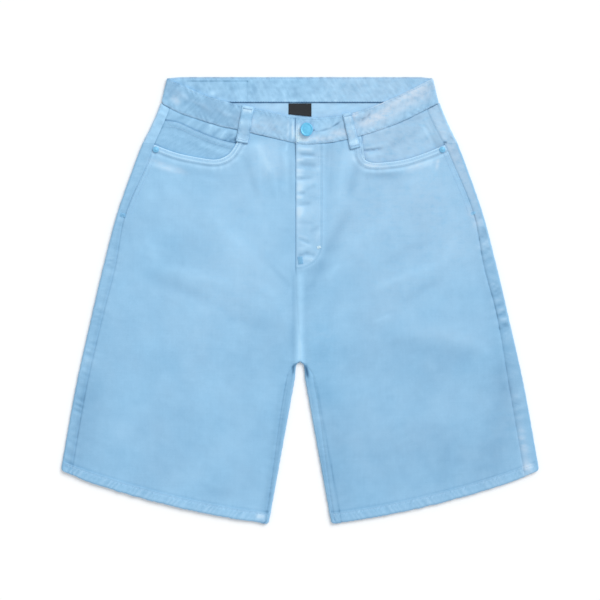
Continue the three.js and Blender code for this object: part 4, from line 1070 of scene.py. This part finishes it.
creased = patches(band_creases, place[..., 0], place[..., 1], "rise") * on_front
relief = 0.28 * slanted + 1.2 * loose + creased - rounding - 0.35 * stitched
# inside of the back: the turned edge of the strip's facing, and the shadow where it stands off the yoke
joint = (line_of(width - 30.8, 0.9) * smooth(-166, -160, place[..., 0]) * smooth(-74, -76, place[..., 0])
         + 0.5 * line_of(place[..., 0] + 76, 0.9) * (width < 31.5))
relief = relief - (0.35 * joint + 0.15 * loose) * on_back
# Paler and deeper places on the front of the band: painted shade over its left part and in its creases, painted shadows
# beside the belt loops, and uneven dye.
band_dye_and_shade_marks = table("x y turn length width tone", [
    (-150, 286, -30, 66, 14, -0.8), (-118, 272, -22, 50, 14, -0.75), (-150, 281, -30, 26, 8, -0.3), (-128, 288, -28, 18, 7, -0.5),
    (-187, 308, -60, 26, 12, -0.6), (-180, 290, -38, 11, 5, 0.9), (-60, 257, -14, 50, 14, -0.55),
    (-84, 262, -10, 12, 3, 0.6), (12, 242, 4, 40, 9, 0.5), (60, 246, 8, 26, 9, 0.1), (104, 264, 26, 44, 14, 0.15),
    (92, 263, 30, 16, 3, -0.9), (150, 288, 32, 70, 16, 0.5), (60, 252, 60, 10, 4, -0.4), (36, 247.6, 14, 12, 1.3, -1.3), 
    (53, 256, 33, 12, 1.3, -1.6), (-88, 262, -14, 70, 14, -0.1),
    (120, 272, 22, 30, 3, -0.4), (186, 300, 60, 20, 6, -0.5), (-91.5, 263, -82, 17, 3.4, -0.9), (-66, 262, -80, 14, 3, 0.5),
    (67, 252, -78, 18, 3, -0.9), (140, 284, 32, 90, 20, -0.45),
])
# The band's creases also get painted highlight and shade.
band_tone = patches(band_dye_and_shade_marks, place[..., 0], place[..., 1], "tone") * (1 - on_back) + 1.0 * creased
band_tone = band_tone + 0.4 * mottle(along + width, width, 12, 43) + 0.5 * mottle(along, width, 5, 44)
band_tone = np.clip(band_tone + 0.4 * mottle(0.5 * (along + width), along - width, 4, 45), -1.2, 1.9)
# painted shade in the end of the buttonhole, in the fold beside it and in creases on the band's right part; painted
# highlight on two ridges at the band's end; and the pale end of the strip, rubbed pale and lifted with painted light
# where the button's shadow falls
sharp_shade_and_light_marks = table("x y turn length width tone", [
    (20, 246.8, -3, 3.4, 1, -3), (32, 246.2, 8, 12, 1.2, -0.7),
    (121, 277, 30, 26, 3, -0.7), (149, 299, 27, 26, 3, -0.7), (100, 271, 42, 20, 3, -0.7), (172, 296, 32, 24, 3.5, -0.6), (50, 254, 30, 13, 1.2, -0.9), (4, 236.2, 8, 13, 6, 3.2),
    (-2.6, 244, 88, 15, 3.6, 2.4), (3.5, 238.5, 4, 8, 3, 1.4),
    (-10.5, 248, 88, 16, 1.8, 1.3), (-17.4, 247, 88, 18, 1.4, 0.5), (18, 234.5, 4, 14, 3, 0.9), (-3.8, 240, 88, 14, 1.6, 0.9),
])
band_tone = band_tone + patches(sharp_shade_and_light_marks, place[..., 0], place[..., 1], "tone") * (1 - on_back)
# Painted shade and highlight of faint creases on the inside of the back band.
inside_crease_shading = table("x y turn length width tone", [
    (-150, 300, 80, 16, 5, -0.5), (-128, 306, 84, 14, 6, 0.4), (-100, 303, 88, 16, 5, -0.5), (-84, 300, 90, 14, 4, 0.5),
    (-66, 302, 90, 17, 5, -0.6), (-58, 306, 88, 14, 4, 0.5), (-40, 304, 92, 14, 6, -0.3), (-22, 302, 90, 17, 4, 0.5),
    (-6, 305, 90, 17, 5, -0.5), (8, 303, 90, 14, 5, 0.4), (34, 306, 86, 14, 6, -0.3), (52, 303, 92, 16, 5, 0.5),
    (78, 304, 90, 15, 6, -0.4), (104, 306, 86, 14, 6, 0.5), (128, 304, 94, 14, 5, -0.4), (150, 308, 96, 12, 5, 0.4),
    (-60, 309, 0, 80, 3, -0.35), (80, 311, 1, 90, 3, -0.3), (-20, 296, -1, 90, 3, 0.4), (100, 297, 1, 70, 3, 0.35),
])
band_tone = band_tone + 1.0 * patches(inside_crease_shading, place[..., 0], place[..., 1], "tone") * on_back
band_tone = band_tone + 0.45 * slanted * (1 - 0.5 * on_back) - 1.7 * joint * on_back + 0.15 * on_back + 0.15
# Painted shadow along the band's lower edge, deepest inside the back where the band stands off the yoke, and painted
# shade along its top edge.
band_tone = band_tone - 1.2 * (1 - on_back) * line_of(width, 0.9) - 5 * on_back * line_of(width - 1.2, 1.0)
band_tone = band_tone - mix(0.6, 1.7, on_back) * line_of(36.5 - width, mix(0.7, 1.2, on_back))
band_tone = band_tone + 0.6 * on_back * (line_of(width - 3.5, 2) + 0.5 * line_of(width - 33, 1.4))
band_frost = table("x y turn length width amount", [
    (-3.5, 243, 88, 20, 3.2, 0.3), (4, 236, 2, 14, 6, 0.25), (18, 235, 4, 20, 5, 0.35), (-10.5, 247, 88, 18, 2.2, 0.2),
    (-17.5, 246, 88, 18, 1.8, 0.1), (60, 248, 8, 40, 14, 0.15), (-60, 257, -14, 50, 16, 0.1), (-185, 308, -60, 26, 12, 0.05), (34, 235, 4, 22, 4, 0.3), (-180, 291, -48, 11, 5, 0.35),
    (136, 284, 34, 30, 4.5, 0.15), (158, 300, 32, 26, 5, 0.15), (146, 278, 30, 26, 4, 0.18), (172, 305, 36, 20, 4, 0.15),
    (108, 264, 24, 30, 5, 0.35), (78, 270, 30, 10, 4, 0.5),  (122, 290, 30, 24, 3, 0.4),
    (60, 243, 8, 24, 5, 0.4), (140, 285, 32, 90, 20, 0.32), (-50, 252, -12, 60, 14, 0.15), (100, 262, 26, 60, 18, 0.12), (178, 303, 40, 40, 18, 0.22),
])
band_wear = patches(band_frost, place[..., 0], place[..., 1], "amount") * (1 - on_back)
band_wear = band_wear + np.clip(creased, 0, 1) * 0.2 + 0.1 * line_of(width - 1, 1.2) * (1 - on_back)
band_wear = band_wear + on_back * (0.3 * line_of(36.5 - width, 1.5) + 0.14 * smooth(0, 60, place[..., 0]))


def band_face(depth, rise):
    """One face of the band: `depth` mm in from its outer face, raised by `rise` outwards."""
    away = depth - rise
    return np.stack([place[..., 0] + inward[..., 0] * away, place[..., 1],
                     stations[:, None, 4] + inward[..., 1] * away], -1)


outer = band_face(0, relief * (1 - on_back))
within = band_face(BAND, -relief * on_back - 0.5 * (1 - on_back) * (rounding > 0.4))
band_denim = denim("waistband denim", middle=0.5, clouds=0.34, haze=0.14)
waistband = shell("waistband_cloth", outer, within, {"wear": band_wear, "tone": band_tone}, True, along=True)
dress(waistband, band_denim, "denim", "waistband")

# Topstitching.
# Tone-on-tone cotton thread in short raised stitches: two rows round each pocket and the fly, one round the hem and
# along both edges of the waistband, with dense bars of thread where seams end.
def thread(name, deep, pale):
    material = bpy.data.materials.new(name)
    material.use_nodes = True
    tree = material.node_tree
    shader = tree.nodes["Principled BSDF"]
    where = tree.nodes.new("ShaderNodeTexCoord").outputs["Object"]
    faded = uneven(tree, where, 140, 4, 0.6)
    tree.links.new(blend_colours(tree, faded, deep, pale), shader.inputs["Base Color"])
    tree.links.new(calc(tree, "MULTIPLY_ADD", faded, 0.2, 0.55), shader.inputs["Roughness"])
    strands = tree.nodes.new("ShaderNodeBump")
    strands.inputs["Strength"].default_value = 0.4
    strands.inputs["Distance"].default_value = 0.0001
    tree.links.new(uneven(tree, where, 5200, 2), strands.inputs["Height"])
    tree.links.new(strands.outputs["Normal"], shader.inputs["Normal"])
    return material


seam_thread = thread("seam thread", srgb(140, 188, 224), srgb(186, 218, 242))
blue_thread = thread("blue thread", srgb(122, 186, 226), srgb(156, 212, 244))
white_thread = thread("white thread", srgb(204, 238, 255), srgb(230, 250, 255))

THREAD = 0.34
STITCH, PITCH = 2.9, 3.7
THREAD_ENDS = np.array([(-0.5, 0.3, -0.55), (-0.32, 0.95, 0), (0.32, 0.95, 0), (0.5, 0.3, -0.55)])
THREAD_ROUND = np.array([(math.cos(a), math.sin(a)) for a in np.linspace(0, 2 * math.pi, 6)[:-1]])


def threads(name, starts, finishes, thickness=THREAD, material=seam_thread):
    """Short rounded lengths of thread between pairs of points, sunk a little at both ends."""
    starts, finishes = np.array(starts, float), np.array(finishes, float)
    middle, run = (starts + finishes) / 2, finishes - starts
    aside = np.cross([0, 0, 1.0], run)
    aside /= np.linalg.norm(aside, axis=1)[:, None]
    upward = np.cross(run, aside)
    upward /= np.linalg.norm(upward, axis=1)[:, None]
    rings = []
    for at, size, drop in THREAD_ENDS:
        for c, s in THREAD_ROUND:
            rings.append(middle + run * at + (aside * c * size + upward * (s * size + drop)) * thickness)
    points = np.stack(rings, 1)
    sides = [(r * 5 + k, r * 5 + (k + 1) % 5, r * 5 + 5 + (k + 1) % 5, r * 5 + 5 + k) for r in range(3) for k in range(5)]
    quads = np.array(sides + [(3, 2, 1, 0), (15, 16, 17, 18)])
    tris = np.array([(4, 3, 0), (15, 18, 19)])
    offsets = (np.arange(len(middle)) * 20)[:, None, None]
    mesh = bpy.data.meshes.new(name)
    faces = [tuple(f) for f in (quads[None] + offsets).reshape(-1, 4).tolist()]
    faces += [tuple(f) for f in (tris[None] + offsets).reshape(-1, 3).tolist()]
    mesh.from_pydata((points.reshape(-1, 3) * MM).tolist(), [], faces)
    mesh.shade_smooth()
    piece = bpy.data.objects.new(name, mesh)
    bpy.context.scene.collection.objects.link(piece)
    return dress(piece, material, "denim")


def stitch_ends(line):
    """Starts and finishes of the stitches along a line of points."""
    line = np.asarray(line, float)
    along = np.concatenate([[0], np.cumsum(np.linalg.norm(np.diff(line, axis=0), axis=1))])
    begin = np.arange(1, along[-1] - STITCH, PITCH)
    at = lambda s: np.stack([np.interp(s, along, line[:, k]) for k in range(3)], -1)
    return at(begin), at(begin + STITCH)


def top_at(side, h, y):
    """Points on the upper face of the front, and of the strip of the back beside it."""
    on_panel = h < side_seam(side, y)
    bare = lying_height(side, h, y) + sewn_relief(side, h, y)[0]
    z = np.where(on_panel, front_surface(side, h, y)[0], bare)
    return np.stack([side * h, y, z + 0.12], -1)


def beside(line, away):
    """A line moved sideways by a distance, to the right of the way it runs."""
    run = np.gradient(line, axis=0)
    run /= np.linalg.norm(run, axis=1)[:, None]
    return line + np.stack([run[:, 1], -run[:, 0]], -1) * away


def bar(centre, turn, length, breadth, lift):
    """A bar tack: close threads across a short line."""
    c, s = math.cos(math.radians(turn)), math.sin(math.radians(turn))
    at = np.linspace(-length / 2, length / 2, int(length / 0.55))
    zig = np.where(np.arange(len(at)) % 2 == 0, 0.25, -0.25)
    base = np.stack([centre[0] + at * c, centre[1] + at * s, np.full(len(at), centre[2] + lift)], -1)
    out = np.array([-s, c, 0]) * breadth / 2
    lean = np.array([c, s, 0])
    return base - out + zig[:, None] * lean, base + out - zig[:, None] * lean


for side, word in side_names.items():
    lines = []
    hem_h = np.linspace(HEM_IN + 1.5, float(side_edge(HEM_SIDE)) - 4, 260)
    lines.append(top_at(side, hem_h, hem_line(hem_h) + 13))
    if side == LEFT:
        for out in FLY_LINES:
            straight = np.linspace(226, FLY_BEND, 120)
            angle = np.linspace(0, 1, 60) * math.pi / 2 * 0.96
            y = np.concatenate([straight, FLY_BEND - out * FLY_DROP * np.sin(angle)])
            h = np.concatenate([np.full(120, float(out)), out * np.cos(angle)]) + front_seam(y)
            lines.append(top_at(side, h, y))
    mouth = even_line(mouths[side], 300)
    for away in (1.9, 6.8):
        moved = beside(mouth, -away)
        clear = (moved[:, 0] < side_seam(side, moved[:, 1]) - 1) & (moved[:, 1] < waist_seam(side * moved[:, 0]) - 1)
        lines.append(top_at(side, moved[clear, 0], moved[clear, 1]))
    seam_y = np.linspace(126, mouth[0, 1] - 8, 80)
    for away in (2.0, 7.5):
        lines.append(top_at(side, side_seam(side, seam_y) - away, seam_y))
    if side == RIGHT:
        coin_h = np.linspace(98, 190, 90)
        for away in (1.8, 7.6):
            y = coin_edge(coin_h) - away
            z = facing_height(side, coin_h, y) + DENIM + 0.3 + coin_relief(coin_h, y)[0] + 0.12
            keep = coin_h < side_seam(side, y) - 1.5
            lines.append(np.stack([side * coin_h, y, z], -1)[keep])
    ends = [stitch_ends(line) for line in lines]
    threads(f"front_{word}_stitching", np.concatenate([e[0] for e in ends]), np.concatenate([e[1] for e in ends]))

# x, y, turn, length and breadth of each bar tack, by the colour of its thread
bars = {
    "blue": (blue_thread, [(251, 127, 14, 6.5, 5.5), (-256.5, 124, 166, 7, 6.5), (0.5, 58.8, 96, 10, 8)]),
    "white": (white_thread, [(27.4, 77.8, 20, 5, 5)]),
}
for word, (material, rows) in bars.items():
    made = []
    for x, y, turn, length, breadth in rows:
        side = LEFT if x > -1 else RIGHT
        made.append(bar(top_at(side, np.array(float(side * x)), np.array(float(y))), turn, length, breadth, 0.25))
    threads(f"{word}_bar_tacks", np.concatenate([m[0] for m in made]), np.concatenate([m[1] for m in made]),
            0.3, material)

end_tack = bar((-2.8, 235.4, BAND_OVERLAP + 0.1), 88, 11, 3.4, 0.25)
threads("band_end_tack", *end_tack, 0.3, white_thread)

edge_lines = []
for share in (2 / 36.5, 34.3 / 36.5):
    for grid, picked, lift in ((outer, stations[:, 7] < 0.5, 0.12), (within, stations[:, 7] > 0.5, 0.12)):
        rows = np.nonzero(picked)[0]
        for part in np.split(rows, np.nonzero(np.diff(rows) > 1)[0] + 1):
            line = np.array([[np.interp(share, BAND_SHARES, grid[r, :, k]) for k in range(3)] for r in part])
            line[:, 2] += lift
            edge_lines.append(line)
left_end = []
for share in np.linspace(2 / 36.5, 34.3 / 36.5, 30):
    at = [np.interp(share, BAND_SHARES, outer[2, :, k]) for k in range(3)]
    left_end.append((at[0] + 0.8, at[1], at[2] + 0.15))
edge_lines.append(np.array(left_end))
ends = [stitch_ends(line) for line in edge_lines]
threads("waistband_stitching", np.concatenate([e[0] for e in ends]), np.concatenate([e[1] for e in ends]))

# Belt loops.
# Narrow strips with both edges folded in and stitched, tacked down above and below the waistband.
LOOP_WIDTH, LOOP_THICK, LOOP_ARCH, LOOP_CLEAR = 15, 1.5, 0.8, 0.35
loop_denim = denim("loop denim", middle=0.5)
for side, top, bottom in ((LEFT, (67.6, 271.6), (80, 220.8)), (RIGHT, (75, 282), (84.2, 229))):
    word = side_names[side]
    top, bottom = np.array(top), np.array(bottom)
    run = (bottom - top) / np.linalg.norm(bottom - top)
    sideways = np.array([-run[1], run[0]])
    shares = np.concatenate([[0, 0.008, 0.02, 0.04], np.linspace(0.07, 0.93, 34), [0.96, 0.98, 0.992, 1]])
    breadth = np.array([-7.5, -7.2, -6.6, -5.9, -5.2, -3.8, -1.6, 0, 1.6, 3.8, 5.2, 5.9, 6.6, 7.2, 7.5])
    middle = top + (bottom - top) * shares[:, None]
    off_band = waist_seam(side * middle[:, 0]) - middle[:, 1]
    plain = lying_height(side, middle[:, 0], middle[:, 1]) + RIM_RAISE
    base = mix(band_height(side, middle[:, 0]), plain, smooth(2.6, 7, off_band)) + LOOP_CLEAR
    base = base + LOOP_ARCH * np.sin(np.pi * np.clip((shares - 0.05) / 0.78, 0, 1)) ** 2
    places = middle[:, None, :] + sideways * breadth[None, :, None] * (mix(0.86, 0.98, shares) if side == LEFT else mix(1.16, 1.18, shares))[:, None, None]
    length = shares[:, None] * 52
    off_edge = 7.5 - np.abs(breadth)[None, :]
    relief = -0.9 * np.exp(-((off_edge / 0.9) ** 2)) - 0.35 * np.exp(-(((off_edge - 1.9) / 0.7) ** 2))
    relief = relief - 0.4 * np.exp(-(((off_edge - 7.5) / 1.0) ** 2)) * 0.5
    wavy = pucker(length + breadth[None, :], 0, 8.5, 1, 1.7 * side) * 0.16 + 0.2 * mottle(length, breadth[None, :], 7, 51)
    step = 0.5 * (smooth(9.5, 8.3, length) + smooth(42.5, 43.7, length))
    tacks = -0.12 * np.exp(-(((length - 4) / 1.6) ** 2)) - 0.4 * np.exp(-(((length - 48) / 1.2) ** 2))
    ends_down = -0.7 * (np.exp(-((length / 0.5) ** 2)) + np.exp(-(((52 - length) / 0.5) ** 2)))
    rise = relief + wavy + step + tacks + ends_down
    z = base[:, None] + LOOP_THICK + rise
    loop_outer = np.stack([side * places[..., 0], places[..., 1], z], -1)
    loop_inner = np.stack([side * places[..., 0], places[..., 1], base[:, None] + 0 * z], -1)
    frosted = table("at across turn length width amount", {
        LEFT: [(26, 0, 0, 40, 9, 0.2), (30, -2, 10, 10, 4, 0.2), (9, -1, 60, 8, 4, 0.15)],
        RIGHT: [(36, 0, 0, 22, 9, 0.14), (6, 0, 80, 8, 4, 0.25)],
    }[side])
    frosted["x"], frosted["y"] = frosted["at"], frosted["across"]
    worn = patches(frosted, length, breadth[None, :] + 0 * length, "amount") + 0.25 * np.clip(wavy, 0, 1)
    waves = {LEFT: ((6, 5, 1.2), (15, 3, -0.5), (23, 5, 0.9), (33, 4, -0.3), (43, 5, 1.8)),
             RIGHT: ((5, 4.4, 1.9), (16.5, 4, -0.5), (24, 3.4, 1.1), (33, 5, -0.8), (41, 3, -0.3), (48, 2.2, 1.6))}[side]
    # Painted shade along the loop's folded edges and at its top end, a painted shadow at its lower end, painted
    # highlight and shade on its ripples, and paler and darker bands across it.
    tone = 0.2 - 0.5 * line_of(off_edge - 0.3, 1.6) + sum(size * line_of(length - at, wide) for at, wide, size in waves)
    tone = tone + 0.7 * mottle(length, breadth[None, :], 4, 52) + 0.9 * wavy - 0.5 * line_of(off_edge - 0.1, 0.9)
    tone = tone + 0.4 * line_of(off_edge - 1.9, 0.9) - 0.3 * line_of(length, 0.8) - 2.0 * line_of(52 - length, 0.8)
    loop = shell(f"belt_loop_{word}_cloth", loop_outer, loop_inner, {"wear": worn, "tone": tone}, side == LEFT)
    dress(loop, loop_denim, "denim", f"belt_loop_{word}")
    starts, finishes, tacks_at = [], [], []
    for at in (-5.6, 5.6):
        line = np.array([[np.interp(at, breadth, loop_outer[r, :, k]) for k in range(3)] for r in range(2, len(shares) - 2)])
        line[:, 2] += 0.12
        a, b = stitch_ends(line)
        starts.append(a)
        finishes.append(b)
    for at in (4 / 52, 48 / 52):
        centre = top + (bottom - top) * at
        height = float(np.interp(at, shares, z[:, 7]))
        turn = math.degrees(math.atan2(sideways[1], side * sideways[0]))
        tacks_at.append(bar((side * centre[0], centre[1], height), turn, 12.5, 2.2, 0.3))
    threads(f"belt_loop_{word}_stitching", np.concatenate(starts), np.concatenate(finishes), 0.32)
    threads(f"belt_loop_{word}_tacks", np.concatenate([t[0] for t in tacks_at]),
            np.concatenate([t[1] for t in tacks_at]), 0.3)

# Label.
# A plain black woven label, sewn into the seam below the back of the waistband; its lower edge hangs askew.
LABEL_HALF, LABEL_LOW_RIGHT, LABEL_LOW_LEFT = 16.6, 270.5, 267
label_x = np.concatenate([[-16.6, -16.3, -15.8], np.linspace(-15, 15, 26), [15.8, 16.3, 16.6]])
label_up = np.concatenate([[0, 0.02, 0.05, 0.1], np.linspace(0.16, 1, 16)])
lower = mix(LABEL_LOW_RIGHT, LABEL_LOW_LEFT, (label_x + LABEL_HALF) / (2 * LABEL_HALF))[None, :]
y = mix(lower, WAIST_SEAM - 0.3, label_up[:, None])
x = label_x[None, :] + 0 * y
bulge = 0.35 * np.sin(np.pi * (x + LABEL_HALF) / (2 * LABEL_HALF)) * (1 - label_up[:, None]) + 0.12 * mottle(x, y, 9, 61)
turned_side = 0.25 * smooth(3.2, 2.6, LABEL_HALF - np.abs(x)) - 0.3 * np.exp(-(((LABEL_HALF - np.abs(x)) / 0.4) ** 2))
turned_foot = 0.25 * smooth(3.6, 3, y - lower) - 0.3 * np.exp(-(((y - lower) / 0.4) ** 2))
z = 2.25 + bulge + turned_side + turned_foot
marks = {"wear": 0 * z, "tone": 0 * z}
label = shell("label_cloth", np.stack([x, y, z], -1), np.stack([x, y, z - 0.75], -1), marks)
label_material = bpy.data.materials.new("black woven tape")
label_material.use_nodes = True
tree = label_material.node_tree
shader = tree.nodes["Principled BSDF"]
fine = place_group(tree, twill, Yarn_mm=0.28, Slub=0.2)
dull = calc(tree, "MULTIPLY_ADD", fine["Weft"], 0.5, uneven(tree, tree.nodes.new("ShaderNodeTexCoord").outputs["Object"],
                                                            380, 3), clamp=True)
tree.links.new(blend_colours(tree, dull, srgb(10, 12, 16), srgb(30, 33, 38)), shader.inputs["Base Color"])
tree.links.new(calc(tree, "MULTIPLY_ADD", dull, 0.2, 0.6), shader.inputs["Roughness"])
woven = tree.nodes.new("ShaderNodeBump")
woven.inputs["Strength"].default_value = 0.5
woven.inputs["Distance"].default_value = 0.0002
tree.links.new(fine["Height"], woven.inputs["Height"])
tree.links.new(woven.outputs["Normal"], shader.inputs["Normal"])
dress(label, label_material, "label", "label")

# Button and rivets.
# Metal painted blue. The shank button is domed inside a raised rim and leans a little on its post; each
# rivet is a small domed disc hammered through the corner of a pocket.
BUTTON_AT, BUTTON_LEAN = (9.6, 247.6), math.radians(8)


def painted(name, deep, pale, chip):
    material = bpy.data.materials.new(name)
    material.use_nodes = True
    tree = material.node_tree
    shader = tree.nodes["Principled BSDF"]
    where = tree.nodes.new("ShaderNodeTexCoord").outputs["Object"]
    cloudy = uneven(tree, where, 300, 3)
    spots = calc(tree, "MULTIPLY", calc(tree, "SUBTRACT", uneven(tree, where, 900, 4, 0.7), chip), 14.0, clamp=True)
    coat = blend_colours(tree, cloudy, deep, pale)
    tree.links.new(blend_colours(tree, spots, coat, srgb(196, 222, 238)), shader.inputs["Base Color"])
    tree.links.new(calc(tree, "MULTIPLY_ADD", cloudy, 0.25, 0.3), shader.inputs["Roughness"])
    orange_peel = tree.nodes.new("ShaderNodeBump")
    orange_peel.inputs["Strength"].default_value = 0.25
    orange_peel.inputs["Distance"].default_value = 0.0002
    tree.links.new(uneven(tree, where, 1400, 2), orange_peel.inputs["Height"])
    tree.links.new(orange_peel.outputs["Normal"], shader.inputs["Normal"])
    shader.inputs["Metallic"].default_value = 0.15
    shader.inputs["Coat Weight"].default_value = 0.3
    shader.inputs["Coat Roughness"].default_value = 0.25
    return material


def lathe(profile, count=72):
    """Rings of points round an upright axis, with the first and last closed to a point."""
    profile = np.array(profile, float)
    angle = np.linspace(0, 2 * math.pi, count + 1)[:-1]
    rings = np.stack([profile[:, :1] * np.cos(angle), profile[:, :1] * np.sin(angle),
                      profile[:, 1:] + 0 * angle], -1)
    faces = []
    for r in range(len(profile) - 1):
        for k in range(count):
            n = (k + 1) % count
            faces.append((r * count + k, r * count + n, (r + 1) * count + n, (r + 1) * count + k))
    return rings.reshape(-1, 3), faces


def turned_piece(name, profile, place, lean, material, node):
    """A turned piece, pressed a little oval where it leans; the lean lifts its lower edge."""
    points, faces = lathe(profile)
    c, s = math.cos(lean), math.sin(lean)
    points = points * np.where(lean > 0, (0.95, 1.07, 1), (1, 1, 1))
    points = np.stack([points[:, 0], points[:, 1] * c + points[:, 2] * s, points[:, 2] * c - points[:, 1] * s], -1)
    points = (points + np.array(place)) * MM
    rounded = np.round(points, 7)
    kept, index = np.unique(rounded, axis=0, return_inverse=True)
    index = index.reshape(-1)
    cleaned = []
    for face in faces:
        corners = [int(index[v]) for v in face]
        corners = [v for k, v in enumerate(corners) if v != corners[k - 1]]
        if len(set(corners)) > 2:
            cleaned.append(tuple(corners))
    mesh = bpy.data.meshes.new(name)
    mesh.from_pydata(kept.tolist(), [], cleaned)
    mesh.shade_smooth()
    mesh.set_sharp_from_angle(angle=math.radians(40))
    piece = bpy.data.objects.new(name, mesh)
    bpy.context.scene.collection.objects.link(piece)
    return dress(piece, material, "painted_metal", node)


button_paint = painted("painted button", srgb(80, 172, 216), srgb(110, 204, 242), 0.72)
button_profile = [
    (0, -2.3), (3.8, -2.3), (3.2, -1.9), (3.2, 0.0), (8.4, 0.1), (9.1, 0.4), (9.4, 0.9), (9.4, 1.5), (9.2, 2.1),
    (8.8, 2.4), (8.3, 2.5), (7.8, 2.4), (7.4, 2.2), (6.9, 2.05), (6.2, 2.05), (5.0, 2.15), (3.5, 2.25), (1.8, 2.3),
    (0, 2.3),
]
button_foot = BAND_OVERLAP + 0.3
turned_piece("button_metal", button_profile, (*BUTTON_AT, button_foot + 2.6), BUTTON_LEAN, button_paint, "button")
rivet_paint = painted("painted rivet", srgb(100, 176, 220), srgb(134, 200, 236), 0.66)
rivet_profile = [
    (0, 0), (4.1, 0), (4.4, 0.15), (4.4, 0.4), (4.1, 0.75), (3.5, 1.05), (2.7, 1.2), (2.1, 1.15), (1.8, 1.3),
    (1.5, 1.6), (0.9, 1.78), (0, 1.8),
]
for side, h, y in ((LEFT, 206, 219), (RIGHT, 208.5, 219)):
    z = float(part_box(f"rivet_{side_names[side]}")[0].z / MM)
    turned_piece(f"rivet_{side_names[side]}_metal", rivet_profile, (side * h, y, z), 0, rivet_paint,
                  f"rivet_{side_names[side]}")

# Buttonhole.
# A slit worked all round with close thread; only the end beside the button shows.
hole_length, hole_z = 9.0, BAND_OVERLAP
starts, finishes = [], []
for k, angle in enumerate(np.linspace(-math.pi * 0.98, math.pi * 0.98, 74)):
    c, s = math.cos(angle), math.sin(angle)
    x = 17.5 + c * 1.0 + (hole_length - 1 if c > 0 else -hole_length + 1) * min(1, abs(c) * 1.6)
    starts.append((x, 247.4 + s * 0.7 - 0.09 * (x - 17.5), hole_z + 0.15))
    finishes.append((x + c * 1.6, 247.4 + s * 2.6 - 0.09 * (x - 17.5), hole_z + 0.05))
threads("buttonhole_stitching", starts, finishes, 0.32)

# Table, light and camera.
# A plain white table, one broad soft light from the upper right and even light from all round, seen from straight
# above.
TABLE_BELOW = -0.0002
floor_mesh = bpy.data.meshes.new("table_top")
floor_mesh.from_pydata([(x, y, TABLE_BELOW) for x, y in ((-4, -4), (4, -4), (4, 4), (-4, 4))], [], [(0, 1, 2, 3)])
floor = bpy.data.objects.new("table_top", floor_mesh)
bpy.context.scene.collection.objects.link(floor)
floor_material = bpy.data.materials.new("white table")
floor_material.use_nodes = True
floor_material.node_tree.nodes["Principled BSDF"].inputs["Base Color"].default_value = (0.97, 0.97, 0.97, 1)
floor_material.node_tree.nodes["Principled BSDF"].inputs["Roughness"].default_value = 0.9
floor_mesh.materials.append(floor_material)

world = bpy.data.worlds.new("studio")
world.use_nodes = True
world.node_tree.nodes["Background"].inputs["Color"].default_value = (0.97, 0.985, 1, 1)
world.node_tree.nodes["Background"].inputs["Strength"].default_value = 0.7
bpy.context.scene.world = world

LIGHT_FROM = np.array((1, 1.15, 1.35)) / np.linalg.norm((1, 1.15, 1.35))
light_data = bpy.data.lights.new("window light", "SUN")
light_data.energy, light_data.angle = 1.75, math.radians(34)
light = bpy.data.objects.new("window light", light_data)
light.rotation_euler = (math.acos(LIGHT_FROM[2]), 0, math.atan2(LIGHT_FROM[1], LIGHT_FROM[0]) + math.pi / 2)
bpy.context.scene.collection.objects.link(light)

CAMERA_HEIGHT, PHOTO_WIDTH = 2.6, 0.87
camera_data = bpy.data.cameras.new("camera")
camera_data.sensor_width = 36
camera_data.lens = 36 * CAMERA_HEIGHT / PHOTO_WIDTH
camera = bpy.data.objects.new("camera", camera_data)
camera.location = (0, 0.00145, CAMERA_HEIGHT)
bpy.context.scene.collection.objects.link(camera)
bpy.context.scene.camera = camera
bpy.context.scene.view_settings.view_transform = "Standard"
